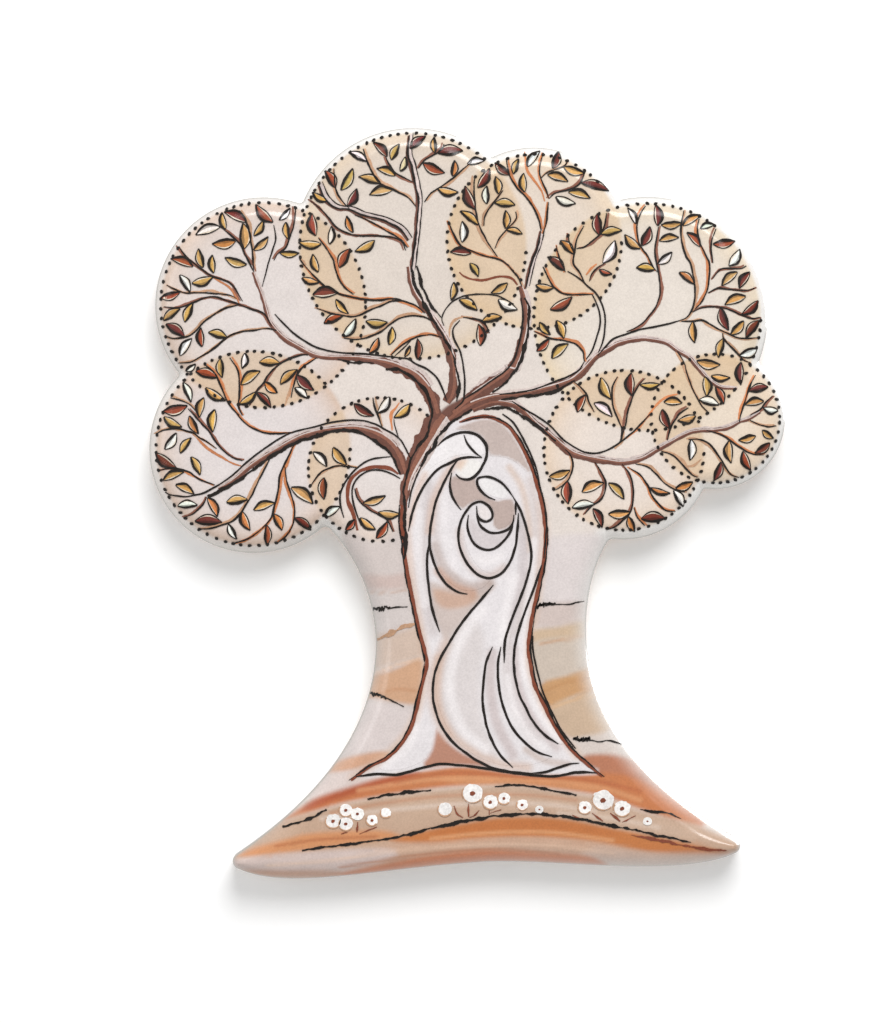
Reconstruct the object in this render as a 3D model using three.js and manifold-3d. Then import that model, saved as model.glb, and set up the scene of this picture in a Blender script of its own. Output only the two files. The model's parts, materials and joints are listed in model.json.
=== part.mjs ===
// Tree-of-life plaque: a flat glazed clay tree with a lobed crown, a flared trunk and a wide foot.
// Millimetres. +Z is up, the decorated face looks to -Y and the flat back lies on y = 0.
import * as THREE from 'three';
import { mergeVertices } from 'three/addons/utils/BufferGeometryUtils.js';
import ManifoldModule from 'manifold-3d';

const wasm = await ManifoldModule();
wasm.setup();

// ---- driving sizes ---------------------------------------------------------------------------
const WIDTH = 70.1;               // crown, edge to edge
const HEIGHT = 82.8;              // foot to top of crown
const THICKNESS = 7;              // back face to the flat of the front
const WALL_DEPTH = 4;             // upright edge before the shoulder starts to roll over
const SHOULDER_WIDTH = 2.3;       // how far the roll reaches in from the edge
const GLAZE = 0.3;                // white glaze coat on front and edge
const FILM = 0.15;                // one layer of fired enamel print
const FILM_MARGIN = 0.25;         // bare glaze between the flat's border and the print
const FILM_GAP = 0.3;             // bare glaze between neighbouring prints
const CUSP_RADIUS = 0.5;          // clay left in the notch between two crown lobes
const NOTCH_RADIUS = 0.8;         // clay left where the crown meets the trunk
const TIP_RADIUS = 0.9;           // ends of the foot
const MAGNET_RADIUS = 5;
const MAGNET_THICKNESS = 2;
const MAGNET_RECESS = 0.3;        // magnet face below the back face
const GLUE = 0.3;
const POCKET_CLEARANCE = 0.3;     // round the rim of each magnet
const MAGNET_HEIGHTS = [20, -28]; // centres above and below the middle of the back

// ---- mesh fineness ---------------------------------------------------------------------------
const FACET = 2.4;
const FINE_FACET = 1.3;
const SHOULDER_STEPS = 3;
const FILLET_STEPS = 3;
const ROUND_STEPS = 32;
const REACH_SHARE = 0.9;          // share of the local half-width the shoulder may take
const CUT_OVERRUN = 1;

// The shapes below are laid out on a tree of this size and stretched to WIDTH and HEIGHT.
const DRAWN_WIDTH = 70.13;
const DRAWN_HEIGHT = 82.83;
const SX = WIDTH / DRAWN_WIDTH;
const SZ = HEIGHT / DRAWN_HEIGHT;

// Crown lobes round the tree from lower left over the top to lower right: x, z, radius.
const LOBES = [
  [-23.6, 6.1, 11.5],
  [-22.5, 21.9, 11.95],
  [-6.0, 28.4, 13.1],
  [7.35, 28.9, 10.45],
  [19.8, 20.6, 13.3],
  [27.3, 9.4, 7.75],
  [17.2, 5.9, 9.8],
];
const LEFT_NOTCH_ANGLE = -50;     // where on the first lobe the trunk joins, degrees
const RIGHT_NOTCH_ANGLE = -96;    // where on the last lobe the trunk joins
const CROWN_MIDDLE = [0, 15];

// Trunk and foot, as handles and way points of bezier curves.
const WAIST_LEFT = [-10.1, -15];
const WAIST_RIGHT = [13.1, -14.2];
const LEFT_NECK = [[-10.3, -9.8], [-12.6, -5.4]];
const LEFT_SWEEP = [[-13, -30.3], [-10, -21.5]];
const RIGHT_NECK = [[13.9, -6.6], [13, -10.5]];
const RIGHT_SWEEP = [[13.2, -21], [16.6, -29.3]];
const FOOT_LEFT = [-25.0, -39.4];
const FOOT_RIGHT = [29.2, -37.7];
const SOLE_MIDDLE = [2, -39.5];
const SOLE_RIGHT = [[23.5, -41.4], [9, -39.1]];
const SOLE_LEFT = [[-10, -40.2], [-20, -42.8]];

// ---- colours ---------------------------------------------------------------------------------
const LOOKS = {
  clay: { color: 0xb98a68, roughness: 0.9, metalness: 0 },
  glaze: { color: 0xf4f2ee, roughness: 0.15, metalness: 0 },
  blush: { color: 0xe3d8d2, roughness: 0.2, metalness: 0 },
  sand: { color: 0xd6b79a, roughness: 0.2, metalness: 0 },
  terracotta: { color: 0xc98555, roughness: 0.2, metalness: 0 },
  lilac: { color: 0xd9ccc8, roughness: 0.2, metalness: 0 },
  bark: { color: 0x8a4a38, roughness: 0.25, metalness: 0 },
  linen: { color: 0xe6e1e1, roughness: 0.2, metalness: 0 },
  shade: { color: 0xb9a6a0, roughness: 0.2, metalness: 0 },
  petal: { color: 0xf2f0ed, roughness: 0.2, metalness: 0 },
  ferrite: { color: 0x3a3a3d, roughness: 0.6, metalness: 0.3 },
  glue: { color: 0xe8e0b8, roughness: 0.5, metalness: 0 },
};

const look = (name) => new THREE.MeshStandardMaterial(LOOKS[name]);
const toRadians = THREE.MathUtils.degToRad;
const point = ([x, z]) => new THREE.Vector2(x, z);

// ---- outline of the tree ---------------------------------------------------------------------
// Every outline point carries its inward normal, so that the shoulder can be set back from it.
// The walk is clockwise seen from the front: lobes turn clockwise, notches counter-clockwise.

function walkArc(centre, radius, from, to, turn, steps) {
  const full = 2 * Math.PI;
  const sweep = ((((to - from) * turn) % full) + full) % full;
  const count = steps ?? Math.max(2, Math.ceil((radius * sweep) / FACET));
  const points = [];
  for (let i = 0; i <= count; i += 1) {
    const angle = from + (turn * sweep * i) / count;
    const out = new THREE.Vector2(Math.cos(angle), Math.sin(angle));
    const at = out.clone().multiplyScalar(radius).add(centre);
    points.push({ at, inward: out.multiplyScalar(turn) });
  }
  return points;
}

function walkBezier(start, handleA, handleB, end) {
  const curve = new THREE.CubicBezierCurve(start, handleA, handleB, end);
  const count = Math.max(2, Math.ceil(curve.getLength() / FACET));
  const points = [];
  for (let i = 0; i <= count; i += 1) {
    const tangent = curve.getTangentAt(i / count);
    points.push({
      at: curve.getPointAt(i / count),
      inward: new THREE.Vector2(tangent.y, -tangent.x),
    });
  }
  return points;
}

const heading = (from, to) => Math.atan2(to.y - from.y, to.x - from.x);
const onCircle = (centre, radius, angle) =>
  new THREE.Vector2(Math.cos(angle), Math.sin(angle)).multiplyScalar(radius).add(centre);

// Angle of the point where a straight run from or to an outside handle touches a circle.
function touchAngle(centre, radius, handle, turn, arriving) {
  const spread = Math.acos(radius / centre.distanceTo(handle));
  return heading(centre, handle) + spread * turn * (arriving ? 1 : -1);
}

// Centre of the round notch that touches two neighbouring lobes from outside.
function notchBetween([xa, za, ra], [xb, zb, rb]) {
  const a = new THREE.Vector2(xa, za);
  const b = new THREE.Vector2(xb, zb);
  const reachA = ra + CUSP_RADIUS;
  const reachB = rb + CUSP_RADIUS;
  const span = a.distanceTo(b);
  const along = (reachA ** 2 - reachB ** 2 + span ** 2) / (2 * span);
  const aside = Math.sqrt(reachA ** 2 - along ** 2);
  const unit = b.clone().sub(a).divideScalar(span);
  const foot = unit.clone().multiplyScalar(along).add(a);
  const side = new THREE.Vector2(-unit.y, unit.x).multiplyScalar(aside);
  const options = [foot.clone().add(side), foot.clone().sub(side)];
  const middle = point(CROWN_MIDDLE);
  options.sort((p, q) => q.distanceTo(middle) - p.distanceTo(middle));
  return options[0];
}

function notchAgainstTrunk([x, z, radius], degrees) {
  return onCircle(new THREE.Vector2(x, z), radius + NOTCH_RADIUS, toRadians(degrees));
}

function crownWalk(leftNotch, rightNotch) {
  const between = LOBES.slice(1).map((lobe, i) => notchBetween(LOBES[i], lobe));
  const notches = [leftNotch, ...between, rightNotch];
  const walk = [];
  LOBES.forEach(([x, z, radius], i) => {
    const centre = new THREE.Vector2(x, z);
    const from = heading(centre, notches[i]);
    walk.push(walkArc(centre, radius, from, heading(centre, notches[i + 1]), -1));
    if (i < LOBES.length - 1) {
      const next = point(LOBES[i + 1]);
      const notch = notches[i + 1];
      const start = heading(notch, centre);
      walk.push(walkArc(notch, CUSP_RADIUS, start, heading(notch, next), 1, FILLET_STEPS));
    }
  });
  return walk;
}

function rightSideWalk(notch, tip) {
  const [neckA, neckB] = RIGHT_NECK.map(point);
  const [sweepA, sweepB] = RIGHT_SWEEP.map(point);
  const waist = point(WAIST_RIGHT);
  const lobe = point(LOBES[LOBES.length - 1]);
  const leave = touchAngle(notch, NOTCH_RADIUS, neckA, 1, false);
  const arrive = touchAngle(tip, TIP_RADIUS, sweepB, -1, true);
  return [
    walkArc(notch, NOTCH_RADIUS, heading(notch, lobe), leave, 1, FILLET_STEPS),
    walkBezier(onCircle(notch, NOTCH_RADIUS, leave), neckA, neckB, waist),
    walkBezier(waist, sweepA, sweepB, onCircle(tip, TIP_RADIUS, arrive)),
  ];
}

function soleWalk(tipRight, tipLeft) {
  const [rightA, rightB] = SOLE_RIGHT.map(point);
  const [leftA, leftB] = SOLE_LEFT.map(point);
  const middle = point(SOLE_MIDDLE);
  const sweepRight = point(RIGHT_SWEEP[1]);
  const sweepLeft = point(LEFT_SWEEP[0]);
  const inRight = touchAngle(tipRight, TIP_RADIUS, sweepRight, -1, true);
  const outRight = touchAngle(tipRight, TIP_RADIUS, rightA, -1, false);
  const inLeft = touchAngle(tipLeft, TIP_RADIUS, leftB, -1, true);
  const outLeft = touchAngle(tipLeft, TIP_RADIUS, sweepLeft, -1, false);
  return [
    walkArc(tipRight, TIP_RADIUS, inRight, outRight, -1, FILLET_STEPS),
    walkBezier(onCircle(tipRight, TIP_RADIUS, outRight), rightA, rightB, middle),
    walkBezier(middle, leftA, leftB, onCircle(tipLeft, TIP_RADIUS, inLeft)),
    walkArc(tipLeft, TIP_RADIUS, inLeft, outLeft, -1, FILLET_STEPS),
  ];
}

function leftSideWalk(tip, notch) {
  const [sweepA, sweepB] = LEFT_SWEEP.map(point);
  const [neckA, neckB] = LEFT_NECK.map(point);
  const waist = point(WAIST_LEFT);
  const leave = touchAngle(tip, TIP_RADIUS, sweepA, -1, false);
  const arrive = touchAngle(notch, NOTCH_RADIUS, neckB, 1, true);
  const lobe = point(LOBES[0]);
  return [
    walkBezier(onCircle(tip, TIP_RADIUS, leave), sweepA, sweepB, waist),
    walkBezier(waist, neckA, neckB, onCircle(notch, NOTCH_RADIUS, arrive)),
    walkArc(notch, NOTCH_RADIUS, arrive, heading(notch, lobe), 1, FILLET_STEPS),
  ];
}

function treeOutline() {
  const leftNotch = notchAgainstTrunk(LOBES[0], LEFT_NOTCH_ANGLE);
  const rightNotch = notchAgainstTrunk(LOBES[LOBES.length - 1], RIGHT_NOTCH_ANGLE);
  const tipLeft = point(FOOT_LEFT);
  const tipRight = point(FOOT_RIGHT);
  const walk = [
    ...crownWalk(leftNotch, rightNotch),
    ...rightSideWalk(rightNotch, tipRight),
    ...soleWalk(tipRight, tipLeft),
    ...leftSideWalk(tipLeft, leftNotch),
  ];
  const joined = walk.flatMap((run) => run.slice(0, -1));
  return joined.map(({ at, inward }) => ({
    at: new THREE.Vector2(at.x * SX, at.y * SZ),
    inward: new THREE.Vector2(inward.x / SX, inward.y / SZ).normalize(),
  }));
}

// Largest circle that fits inside the outline and touches it at this point.
function reachAt(spot, outline) {
  let reach = Infinity;
  for (const other of outline) {
    const chord = other.at.clone().sub(spot.at);
    const depth = 2 * chord.dot(spot.inward);
    if (depth > 0) {
      reach = Math.min(reach, chord.lengthSq() / depth);
    }
  }
  return reach;
}

function withShoulder(outline) {
  return outline.map((spot) => {
    const reach = reachAt(spot, outline);
    return { ...spot, reach, shoulder: Math.min(SHOULDER_WIDTH, REACH_SHARE * reach) };
  });
}

const OUTLINE = withShoulder(treeOutline());

// ---- clay and glaze --------------------------------------------------------------------------

// Rings of the outline from the back face to the flat of the front, set back by a coat.
function bodyRings(coat) {
  const rings = [OUTLINE.map((spot) => ringPoint(spot, coat, 0))];
  for (let i = 0; i <= SHOULDER_STEPS; i += 1) {
    const turn = (Math.PI / 2) * (i / SHOULDER_STEPS);
    const drop = WALL_DEPTH + (THICKNESS - WALL_DEPTH - coat) * Math.sin(turn);
    rings.push(OUTLINE.map((spot) => {
      const setBack = coat + (spot.shoulder - coat) * (1 - Math.cos(turn));
      return ringPoint(spot, setBack, -drop);
    }));
  }
  return rings;
}

function ringPoint({ at, inward }, setBack, y) {
  return new THREE.Vector3(at.x + inward.x * setBack, y, at.y + inward.y * setBack);
}

// Triangles of a flat cap; the sign picks the side they face.
function capTriangles(ring, first, facing) {
  const flat = ring.map((p) => new THREE.Vector2(p.x, p.z));
  return THREE.ShapeUtils.triangulateShape(flat, []).map(([a, b, c]) => {
    const area = THREE.ShapeUtils.area([flat[a], flat[b], flat[c]]);
    return area * facing > 0 ? [first + a, first + b, first + c] : [first + a, first + c, first + b];
  });
}

// Skin over a run of rings, closed by flat caps. The strips before `mirrored` are split along the
// other diagonal, so that a ring run walked backwards matches the same run walked forwards.
function loft(rings, mirrored = 0) {
  const size = rings[0].length;
  const triangles = [...capTriangles(rings[0], 0, -1)];
  for (let k = 0; k < rings.length - 1; k += 1) {
    for (let i = 0; i < size; i += 1) {
      const a = k * size + i;
      const b = k * size + ((i + 1) % size);
      if (k < mirrored) {
        triangles.push([a, a + size, b + size], [a, b + size, b]);
      } else {
        triangles.push([a, a + size, b], [b, a + size, b + size]);
      }
    }
  }
  const last = rings.length - 1;
  triangles.push(...capTriangles(rings[last], last * size, 1));
  const geometry = new THREE.BufferGeometry();
  const positions = rings.flat().flatMap((p) => [p.x, p.y, p.z]);
  geometry.setAttribute('position', new THREE.Float32BufferAttribute(positions, 3));
  geometry.setIndex(triangles.flat());
  return geometry;
}

function glazeShell() {
  const inner = bodyRings(GLAZE).reverse();
  return loft([...inner, ...bodyRings(0)], inner.length - 1);
}

// ---- joining and cutting ---------------------------------------------------------------------

function toSolid(geometry) {
  const bare = new THREE.BufferGeometry();
  bare.setAttribute('position', geometry.getAttribute('position').clone());
  if (geometry.index) {
    bare.setIndex(geometry.index.clone());
  }
  const welded = mergeVertices(bare, 1e-5);
  const mesh = new wasm.Mesh({
    numProp: 3,
    vertProperties: new Float32Array(welded.getAttribute('position').array),
    triVerts: new Uint32Array(welded.index.array),
  });
  return new wasm.Manifold(mesh);
}

function fromSolid(solid) {
  const mesh = solid.getMesh();
  const geometry = new THREE.BufferGeometry();
  geometry.setAttribute('position', new THREE.BufferAttribute(mesh.vertProperties, 3));
  geometry.setIndex(new THREE.BufferAttribute(mesh.triVerts, 1));
  return geometry;
}

// ---- magnets in the back ---------------------------------------------------------------------

function disc(radius, yBack, yFront, z) {
  const geometry = new THREE.CylinderGeometry(radius, radius, yBack - yFront, ROUND_STEPS);
  geometry.translate(0, (yBack + yFront) / 2, z);
  return geometry;
}

const POCKET_FLOOR = -(MAGNET_RECESS + MAGNET_THICKNESS + GLUE);
const MAGNET_INNER = POCKET_FLOOR + GLUE;

function clayBody() {
  let solid = toSolid(loft(bodyRings(GLAZE)));
  for (const height of MAGNET_HEIGHTS) {
    const radius = MAGNET_RADIUS + POCKET_CLEARANCE;
    solid = solid.subtract(toSolid(disc(radius, CUT_OVERRUN, POCKET_FLOOR, height * SZ)));
  }
  return fromSolid(solid);
}

// ---- enamel films on the front ---------------------------------------------------------------
// Films are cut flat from closed outlines. Level 0 lies on the glaze, level 1 lies on level 0.

function filmFrom(outline, level) {
  const shape = new THREE.Shape(outline.map(([x, z]) => new THREE.Vector2(x, z)));
  const geometry = new THREE.ExtrudeGeometry(shape, { depth: FILM, bevelEnabled: false });
  const toFront = new THREE.Matrix4();
  toFront.set(1, 0, 0, 0, 0, 0, -1, -(THICKNESS + level * FILM), 0, 1, 0, 0, 0, 0, 0, 1);
  return geometry.applyMatrix4(toFront);
}

const scaled = (points) => points.map(([x, z]) => [x * SX, z * SZ]);

// The whole printable flat, a margin inside the shoulder. The narrow tips are too small to print.
function flatOutline() {
  const printable = OUTLINE.filter(({ reach, shoulder }) => shoulder + FILM_MARGIN < reach);
  return printable.map(({ at, inward, shoulder }) => {
    const setBack = shoulder + FILM_MARGIN;
    return [at.x + inward.x * setBack, at.y + inward.y * setBack];
  });
}

// A patch of the flat that lies inside the given frame.
function groundFilm(frame) {
  const flat = toSolid(filmFrom(flatOutline(), 0));
  return fromSolid(flat.intersect(toSolid(filmFrom(scaled(frame), 0))));
}

// Smooth closed patch through a few points.
function patchFilm(points, level) {
  const turned = scaled(points).map(([x, z]) => new THREE.Vector3(x, 0, z));
  const curve = new THREE.CatmullRomCurve3(turned, true, 'centripetal');
  const count = Math.ceil(curve.getLength() / FINE_FACET);
  const ring = curve.getSpacedPoints(count).slice(0, -1);
  return filmFrom(ring.map((p) => [p.x, p.z]), level);
}

// Brush stroke along [x, z, width] stations.
function strokeFilm(stations, level) {
  const knots = stations.map(([x, z, width]) => new THREE.Vector3(x * SX, width, z * SZ));
  const curve = new THREE.CatmullRomCurve3(knots, false, 'centripetal');
  const count = Math.ceil(curve.getLength() / FACET);
  const left = [];
  const right = [];
  for (let i = 0; i <= count; i += 1) {
    const spot = curve.getPointAt(i / count);
    const tangent = curve.getTangentAt(i / count);
    const length = Math.hypot(tangent.x, tangent.z);
    const sideX = (-tangent.z / length) * (spot.y / 2);
    const sideZ = (tangent.x / length) * (spot.y / 2);
    left.push([spot.x + sideX, spot.z + sideZ]);
    right.unshift([spot.x - sideX, spot.z - sideZ]);
  }
  return filmFrom([...left, ...right], level);
}

function dotFilm([x, z, radius], level) {
  const ring = [];
  const count = Math.max(10, Math.ceil((2 * Math.PI * radius) / (FACET / 4)));
  for (let i = 0; i < count; i += 1) {
    const angle = (2 * Math.PI * i) / count;
    ring.push([x * SX + radius * Math.cos(angle), z * SZ + radius * Math.sin(angle)]);
  }
  return filmFrom(ring, level);
}

// Heights where the printed landscape changes colour, at the left edge, middle and right edge.
const HORIZONS = {
  crownFoot: [-6, -6, -6],
  farDunes: [-21, -21.5, -20.5],
  nearDunes: [-32.2, -30.4, -33.4],
  meadow: [-37.6, -34.6, -37.2],
};
const SIDE = 45;
const TOP = 60;

function horizonLine([left, middle, right], lift) {
  const line = new THREE.QuadraticBezierCurve(
    new THREE.Vector2(-SIDE, left + lift),
    new THREE.Vector2(0, 2 * middle - (left + right) / 2 + lift),
    new THREE.Vector2(SIDE, right + lift),
  );
  return line.getPoints(ROUND_STEPS / 2).map((p) => [p.x, p.y]);
}

// Band of ground between an upper and a lower horizon, with half a gap spared along both.
function bandFilm(upper, lower) {
  const half = FILM_GAP / 2;
  const top = upper ? horizonLine(upper, -half) : [[-SIDE, TOP], [SIDE, TOP]];
  const bottom = lower ? horizonLine(lower, half) : [[-SIDE, -TOP], [SIDE, -TOP]];
  return groundFilm([...top, ...bottom.reverse()]);
}

const GROUNDS = [
  ['print_crown_ground', 'blush', null, HORIZONS.crownFoot],
  ['print_far_dunes', 'lilac', HORIZONS.crownFoot, HORIZONS.farDunes],
  ['print_near_dunes', 'sand', HORIZONS.farDunes, HORIZONS.nearDunes],
  ['print_meadow', 'lilac', HORIZONS.nearDunes, HORIZONS.meadow],
  ['print_sole_earth', 'terracotta', HORIZONS.meadow, null],
];

const STROKES = [
  ['bark_trunk_left', [
    [-12.4, -30, 0.3], [-9.2, -27.9, 0.5], [-6.9, -25.3, 0.5], [-5.3, -22, 0.55],
    [-4.85, -18.5, 0.6], [-5.3, -14, 0.55], [-6.1, -9.5, 0.5], [-6.8, -4, 0.6],
    [-6.85, 0, 0.8], [-6.4, 3.4, 1.1], [-5.3, 5.9, 1.6], [-3, 9.7, 1.7],
  ]],
  ['bark_trunk_arch', [
    [15.3, -30, 0.3], [11, -25.7, 0.5], [7.8, -19.4, 0.5], [7, -15.8, 0.5],
    [7.75, -8.6, 0.5], [8.5, -1.8, 0.5], [7.2, 4.4, 0.6], [4.6, 8.6, 0.8],
    [2.9, 9.6, 0.7], [0.9, 9.6, 0.7], [-0.9, 9, 0.7],
  ]],
  ['bark_bough_lower_left', [
    [-7.7, 5.4, 1.2], [-9.8, 7.4, 1.3], [-13.7, 8.5, 0.8], [-18.4, 7.4, 0.6],
    [-22.5, 5.5, 0.6], [-26.3, 2.6, 0.4], [-30, 1, 0.25],
  ]],
  ['bark_bough_upper_left', [
    [-4.5, 12.3, 1.2], [-6.5, 14.6, 1.1], [-8.7, 15.4, 0.9], [-14, 16.1, 0.6],
    [-19, 17.4, 0.6], [-20.8, 18.9, 0.5], [-22.5, 22.8, 0.4], [-24.2, 27.5, 0.25],
  ]],
  ['bark_bough_top_left', [
    [-2.2, 11.4, 1.4], [-1.75, 13.5, 1.2], [-1.75, 16, 1.2], [-3.5, 20.5, 1],
    [-5.9, 24.8, 1], [-6.1, 28.5, 1], [-5.5, 33, 0.6], [-6.2, 37.1, 0.25],
  ]],
  ['bark_bough_top_right', [
    [-0.2, 11.1, 1], [1.6, 12.1, 1.2], [4.7, 14.6, 1], [6.1, 17.6, 0.8],
    [6.4, 21.2, 0.7], [6.5, 25, 0.6], [8.1, 29.8, 0.5], [8.5, 34, 0.3], [6.6, 36.6, 0.25],
  ]],
  ['bark_bough_right', [
    [4, 12, 0.5], [8, 12.5, 0.7], [12.1, 14.4, 0.7], [15.6, 17.3, 0.6],
    [20, 18.1, 0.4], [24.7, 15.6, 0.3], [28.4, 12.6, 0.25],
  ]],
  ['bark_bough_lower_right', [
    [4.6, 10.95, 0.5], [7, 9.9, 0.6], [10.9, 6.4, 0.7], [14.2, 4.9, 0.7],
    [18.2, 4.5, 0.5], [20.9, 6.1, 0.4], [25.6, 8.1, 0.3], [30.5, 9.2, 0.25],
  ]],
  ['bark_curl_left', [
    [-8.4, 3.85, 0.6], [-10.8, 4, 0.6], [-12.8, 2.5, 0.5], [-13.1, 0.4, 0.5],
    [-12.1, -3, 0.25],
  ]],
  ['bark_twig_left', [
    [-20.4, 7.7, 0.4], [-23.6, 8.5, 0.35], [-25.3, 10.8, 0.3], [-27.8, 15, 0.25],
  ]],
  ['bark_twig_top_left', [
    [-5, 21.3, 0.4], [-8.3, 22.6, 0.5], [-13.4, 22.9, 0.4], [-17.8, 26.6, 0.25],
  ]],
  ['bark_twig_top_right', [
    [13.9, 17.1, 0.5], [15, 20, 0.6], [13.9, 23.3, 0.5], [11.6, 27, 0.25],
  ]],
  ['bark_twig_right', [
    [17.2, 19, 0.4], [21.3, 19.6, 0.4], [24.3, 20.8, 0.4], [25, 24, 0.35], [23.6, 29, 0.25],
  ]],
];

const FIGURES = [
  ['niche_upper', 'shade', [
    [-1.2, 8.25], [0.2, 8.7], [1.2, 9], [3.2, 8.8], [4.6, 7.5], [5.8, 5.5], [6.6, 3.6],
    [5.2, 4.7], [3.8, 5.2], [2.6, 5.3], [2.3, 6.5], [1.3, 7.7], [0, 8.15],
  ]],
  ['niche_lower', 'shade', [
    [-1.9, 2.9], [-0.1, 2.2], [0.7, 2.4], [1.3, 1.2], [2.8, 0.3], [4.5, 0.1], [4.8, -1],
    [4.5, -2.2], [3.2, -2.6], [3, -0.9], [2.3, 0], [1, 0.5], [-0.6, -0.6], [-1.7, 0.8],
  ]],
  ['father_hood', 'linen', [
    [-4.6, 4.7], [-3.3, 6.6], [-1.4, 7.6], [0, 7.7], [1.3, 7.2], [1.9, 6], [1.7, 5.4],
    [0, 5.5], [-2, 5.1], [-4, 4], [-5, 2.7], [-5.7, 1.8], [-5.4, 3],
  ]],
  ['father_face', 'petal', [
    [-1.5, 3.8], [-0.9, 4.8], [0.6, 5], [1.5, 4.7], [1.3, 3.8], [0.6, 3], [-0.3, 2.75],
    [-1.1, 3.1],
  ]],
  ['mother_face', 'petal', [
    [1.4, 2.6], [2.2, 2.75], [3.6, 2], [4.4, 1.1], [4, 0.6], [3, 0.75], [1.8, 1.5],
  ]],
  ['child_head', 'petal', [
    [1.3, -0.2], [2, -0.3], [2.6, -1], [2.3, -1.7], [1.6, -1.6], [1.3, -1],
  ]],
  ['child_wrap', 'linen', [
    [0.3, -1.2], [0.9, -2.2], [1.8, -3.1], [3.4, -3.3], [4.6, -2.9], [4.2, -4],
    [2.9, -4.8], [1.6, -4.7], [0.5, -3.6], [0, -2.3],
  ]],
  ['father_sleeve', 'linen', [
    [-2.3, 2.4], [-2.1, 0.6], [-1.1, -1.3], [-1, -3.5], [-0.2, -5.8], [1, -7.4],
    [2.6, -8], [1.4, -9.3], [-0.6, -9.4], [-2.6, -7.9], [-3.8, -5.2], [-4, -2.5],
    [-3.4, 0.2],
  ]],
  ['father_cloak', 'linen', [
    [-5.6, 1], [-4.4, 1.6], [-4.5, -1.5], [-4.9, -6], [-4.5, -11], [-3.6, -14.5],
    [-3.1, -15.2], [-4.1, -18.5], [-4.3, -22], [-3.8, -25.6], [-4.4, -27.8],
    [-7, -29.1], [-9.6, -29], [-6.4, -26.3], [-4.7, -22.3], [-4.25, -18], [-4.8, -13.8],
    [-5.6, -9], [-6.2, -4], [-6.1, -0.8],
  ]],
  ['mother_wrap', 'linen', [
    [4.9, -3.2], [5, -2.6], [4.7, -5], [3.6, -7.1], [2.5, -7.6], [1.2, -6.9],
    [0.2, -5.4], [-0.4, -3.6], [-0.3, -2.4], [0.2, -4], [1.4, -5.2], [2.8, -5.2],
    [4.2, -4.3],
  ]],
  ['mother_veil', 'linen', [
    [2.6, 4.7], [4, 4.5], [5.6, 3.6], [7, 1.2], [7.8, -2], [7.8, -6], [7, -10.5],
    [6.4, -15], [7, -19], [8.4, -22.6], [10.6, -26.4], [7.4, -24.6], [5.4, -20.5],
    [5.2, -16.5], [6.1, -12], [7, -7.8], [6.6, -3], [5.6, -0.2], [4.4, 2], [2.8, 3.4],
  ]],
  ['mother_robe', 'linen', [
    [5.3, -3.8], [6.1, -3.2], [6.5, -7], [5.6, -11], [4.6, -15.5], [4.7, -20.5],
    [6.4, -24.6], [9.4, -27.4], [6.8, -28.7], [3.4, -28.6], [0.2, -27.2],
    [-2.2, -24.6], [-3.4, -20.8], [-2.7, -17.4], [-0.4, -13.4], [2.4, -10],
    [4.2, -7.4],
  ]],
];

// Flower heads in the meadow: x, z, radius.
const FLOWERS = {
  left: [
    [-14.8, -34.9, 0.75], [-13.3, -33.6, 0.75], [-13.3, -35.2, 0.65],
    [-10.4, -34.7, 0.7], [-9, -34, 0.55],
  ],
  middle: [
    [-2.5, -33.6, 0.8], [0.55, -31.9, 1.1], [2.5, -32.8, 0.75],
    [4.1, -32.4, 0.65], [6, -33.1, 0.6],
  ],
  right: [
    [12.9, -33.6, 0.7], [14.9, -32.7, 1.15], [17.1, -33.6, 0.8],
  ],
};

// ---- assembly --------------------------------------------------------------------------------

function addMesh(group, name, geometry, material) {
  const mesh = new THREE.Mesh(geometry, look(material));
  mesh.name = name;
  group.add(mesh);
}

function addMagnets(group) {
  MAGNET_HEIGHTS.forEach((height, i) => {
    const place = i === 0 ? 'upper' : 'lower';
    const z = height * SZ;
    addMesh(group, `glue_${place}`, disc(MAGNET_RADIUS, MAGNET_INNER, POCKET_FLOOR, z), 'glue');
    const magnet = disc(MAGNET_RADIUS, -MAGNET_RECESS, MAGNET_INNER, z);
    addMesh(group, `magnet_${place}`, magnet, 'ferrite');
  });
}

function addPrint(group) {
  for (const [name, material, upper, lower] of GROUNDS) {
    addMesh(group, name, bandFilm(upper, lower), material);
  }
  for (const [name, stations] of STROKES) {
    addMesh(group, name, strokeFilm(stations, 1), 'bark');
  }
  for (const [name, material, points] of FIGURES) {
    addMesh(group, name, patchFilm(points, 1), material);
  }
  for (const [place, heads] of Object.entries(FLOWERS)) {
    heads.forEach((head, i) => {
      addMesh(group, `flower_${place}_${i + 1}`, dotFilm(head, 1), 'petal');
    });
  }
}

function tree() {
  const group = new THREE.Group();
  group.name = 'tree_of_life_plaque';
  addMesh(group, 'clay_body', clayBody(), 'clay');
  addMesh(group, 'white_glaze', glazeShell(), 'glaze');
  addMagnets(group);
  addPrint(group);
  return group;
}

export default tree();
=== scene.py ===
"""Looks of the tree-of-life plaque: a glazed clay tree with a fired print of leaves, boughs and a family."""

import json
import math

import bpy
import numpy as np
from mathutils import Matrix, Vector, kdtree
from mathutils.geometry import delaunay_2d_cdt

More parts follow.
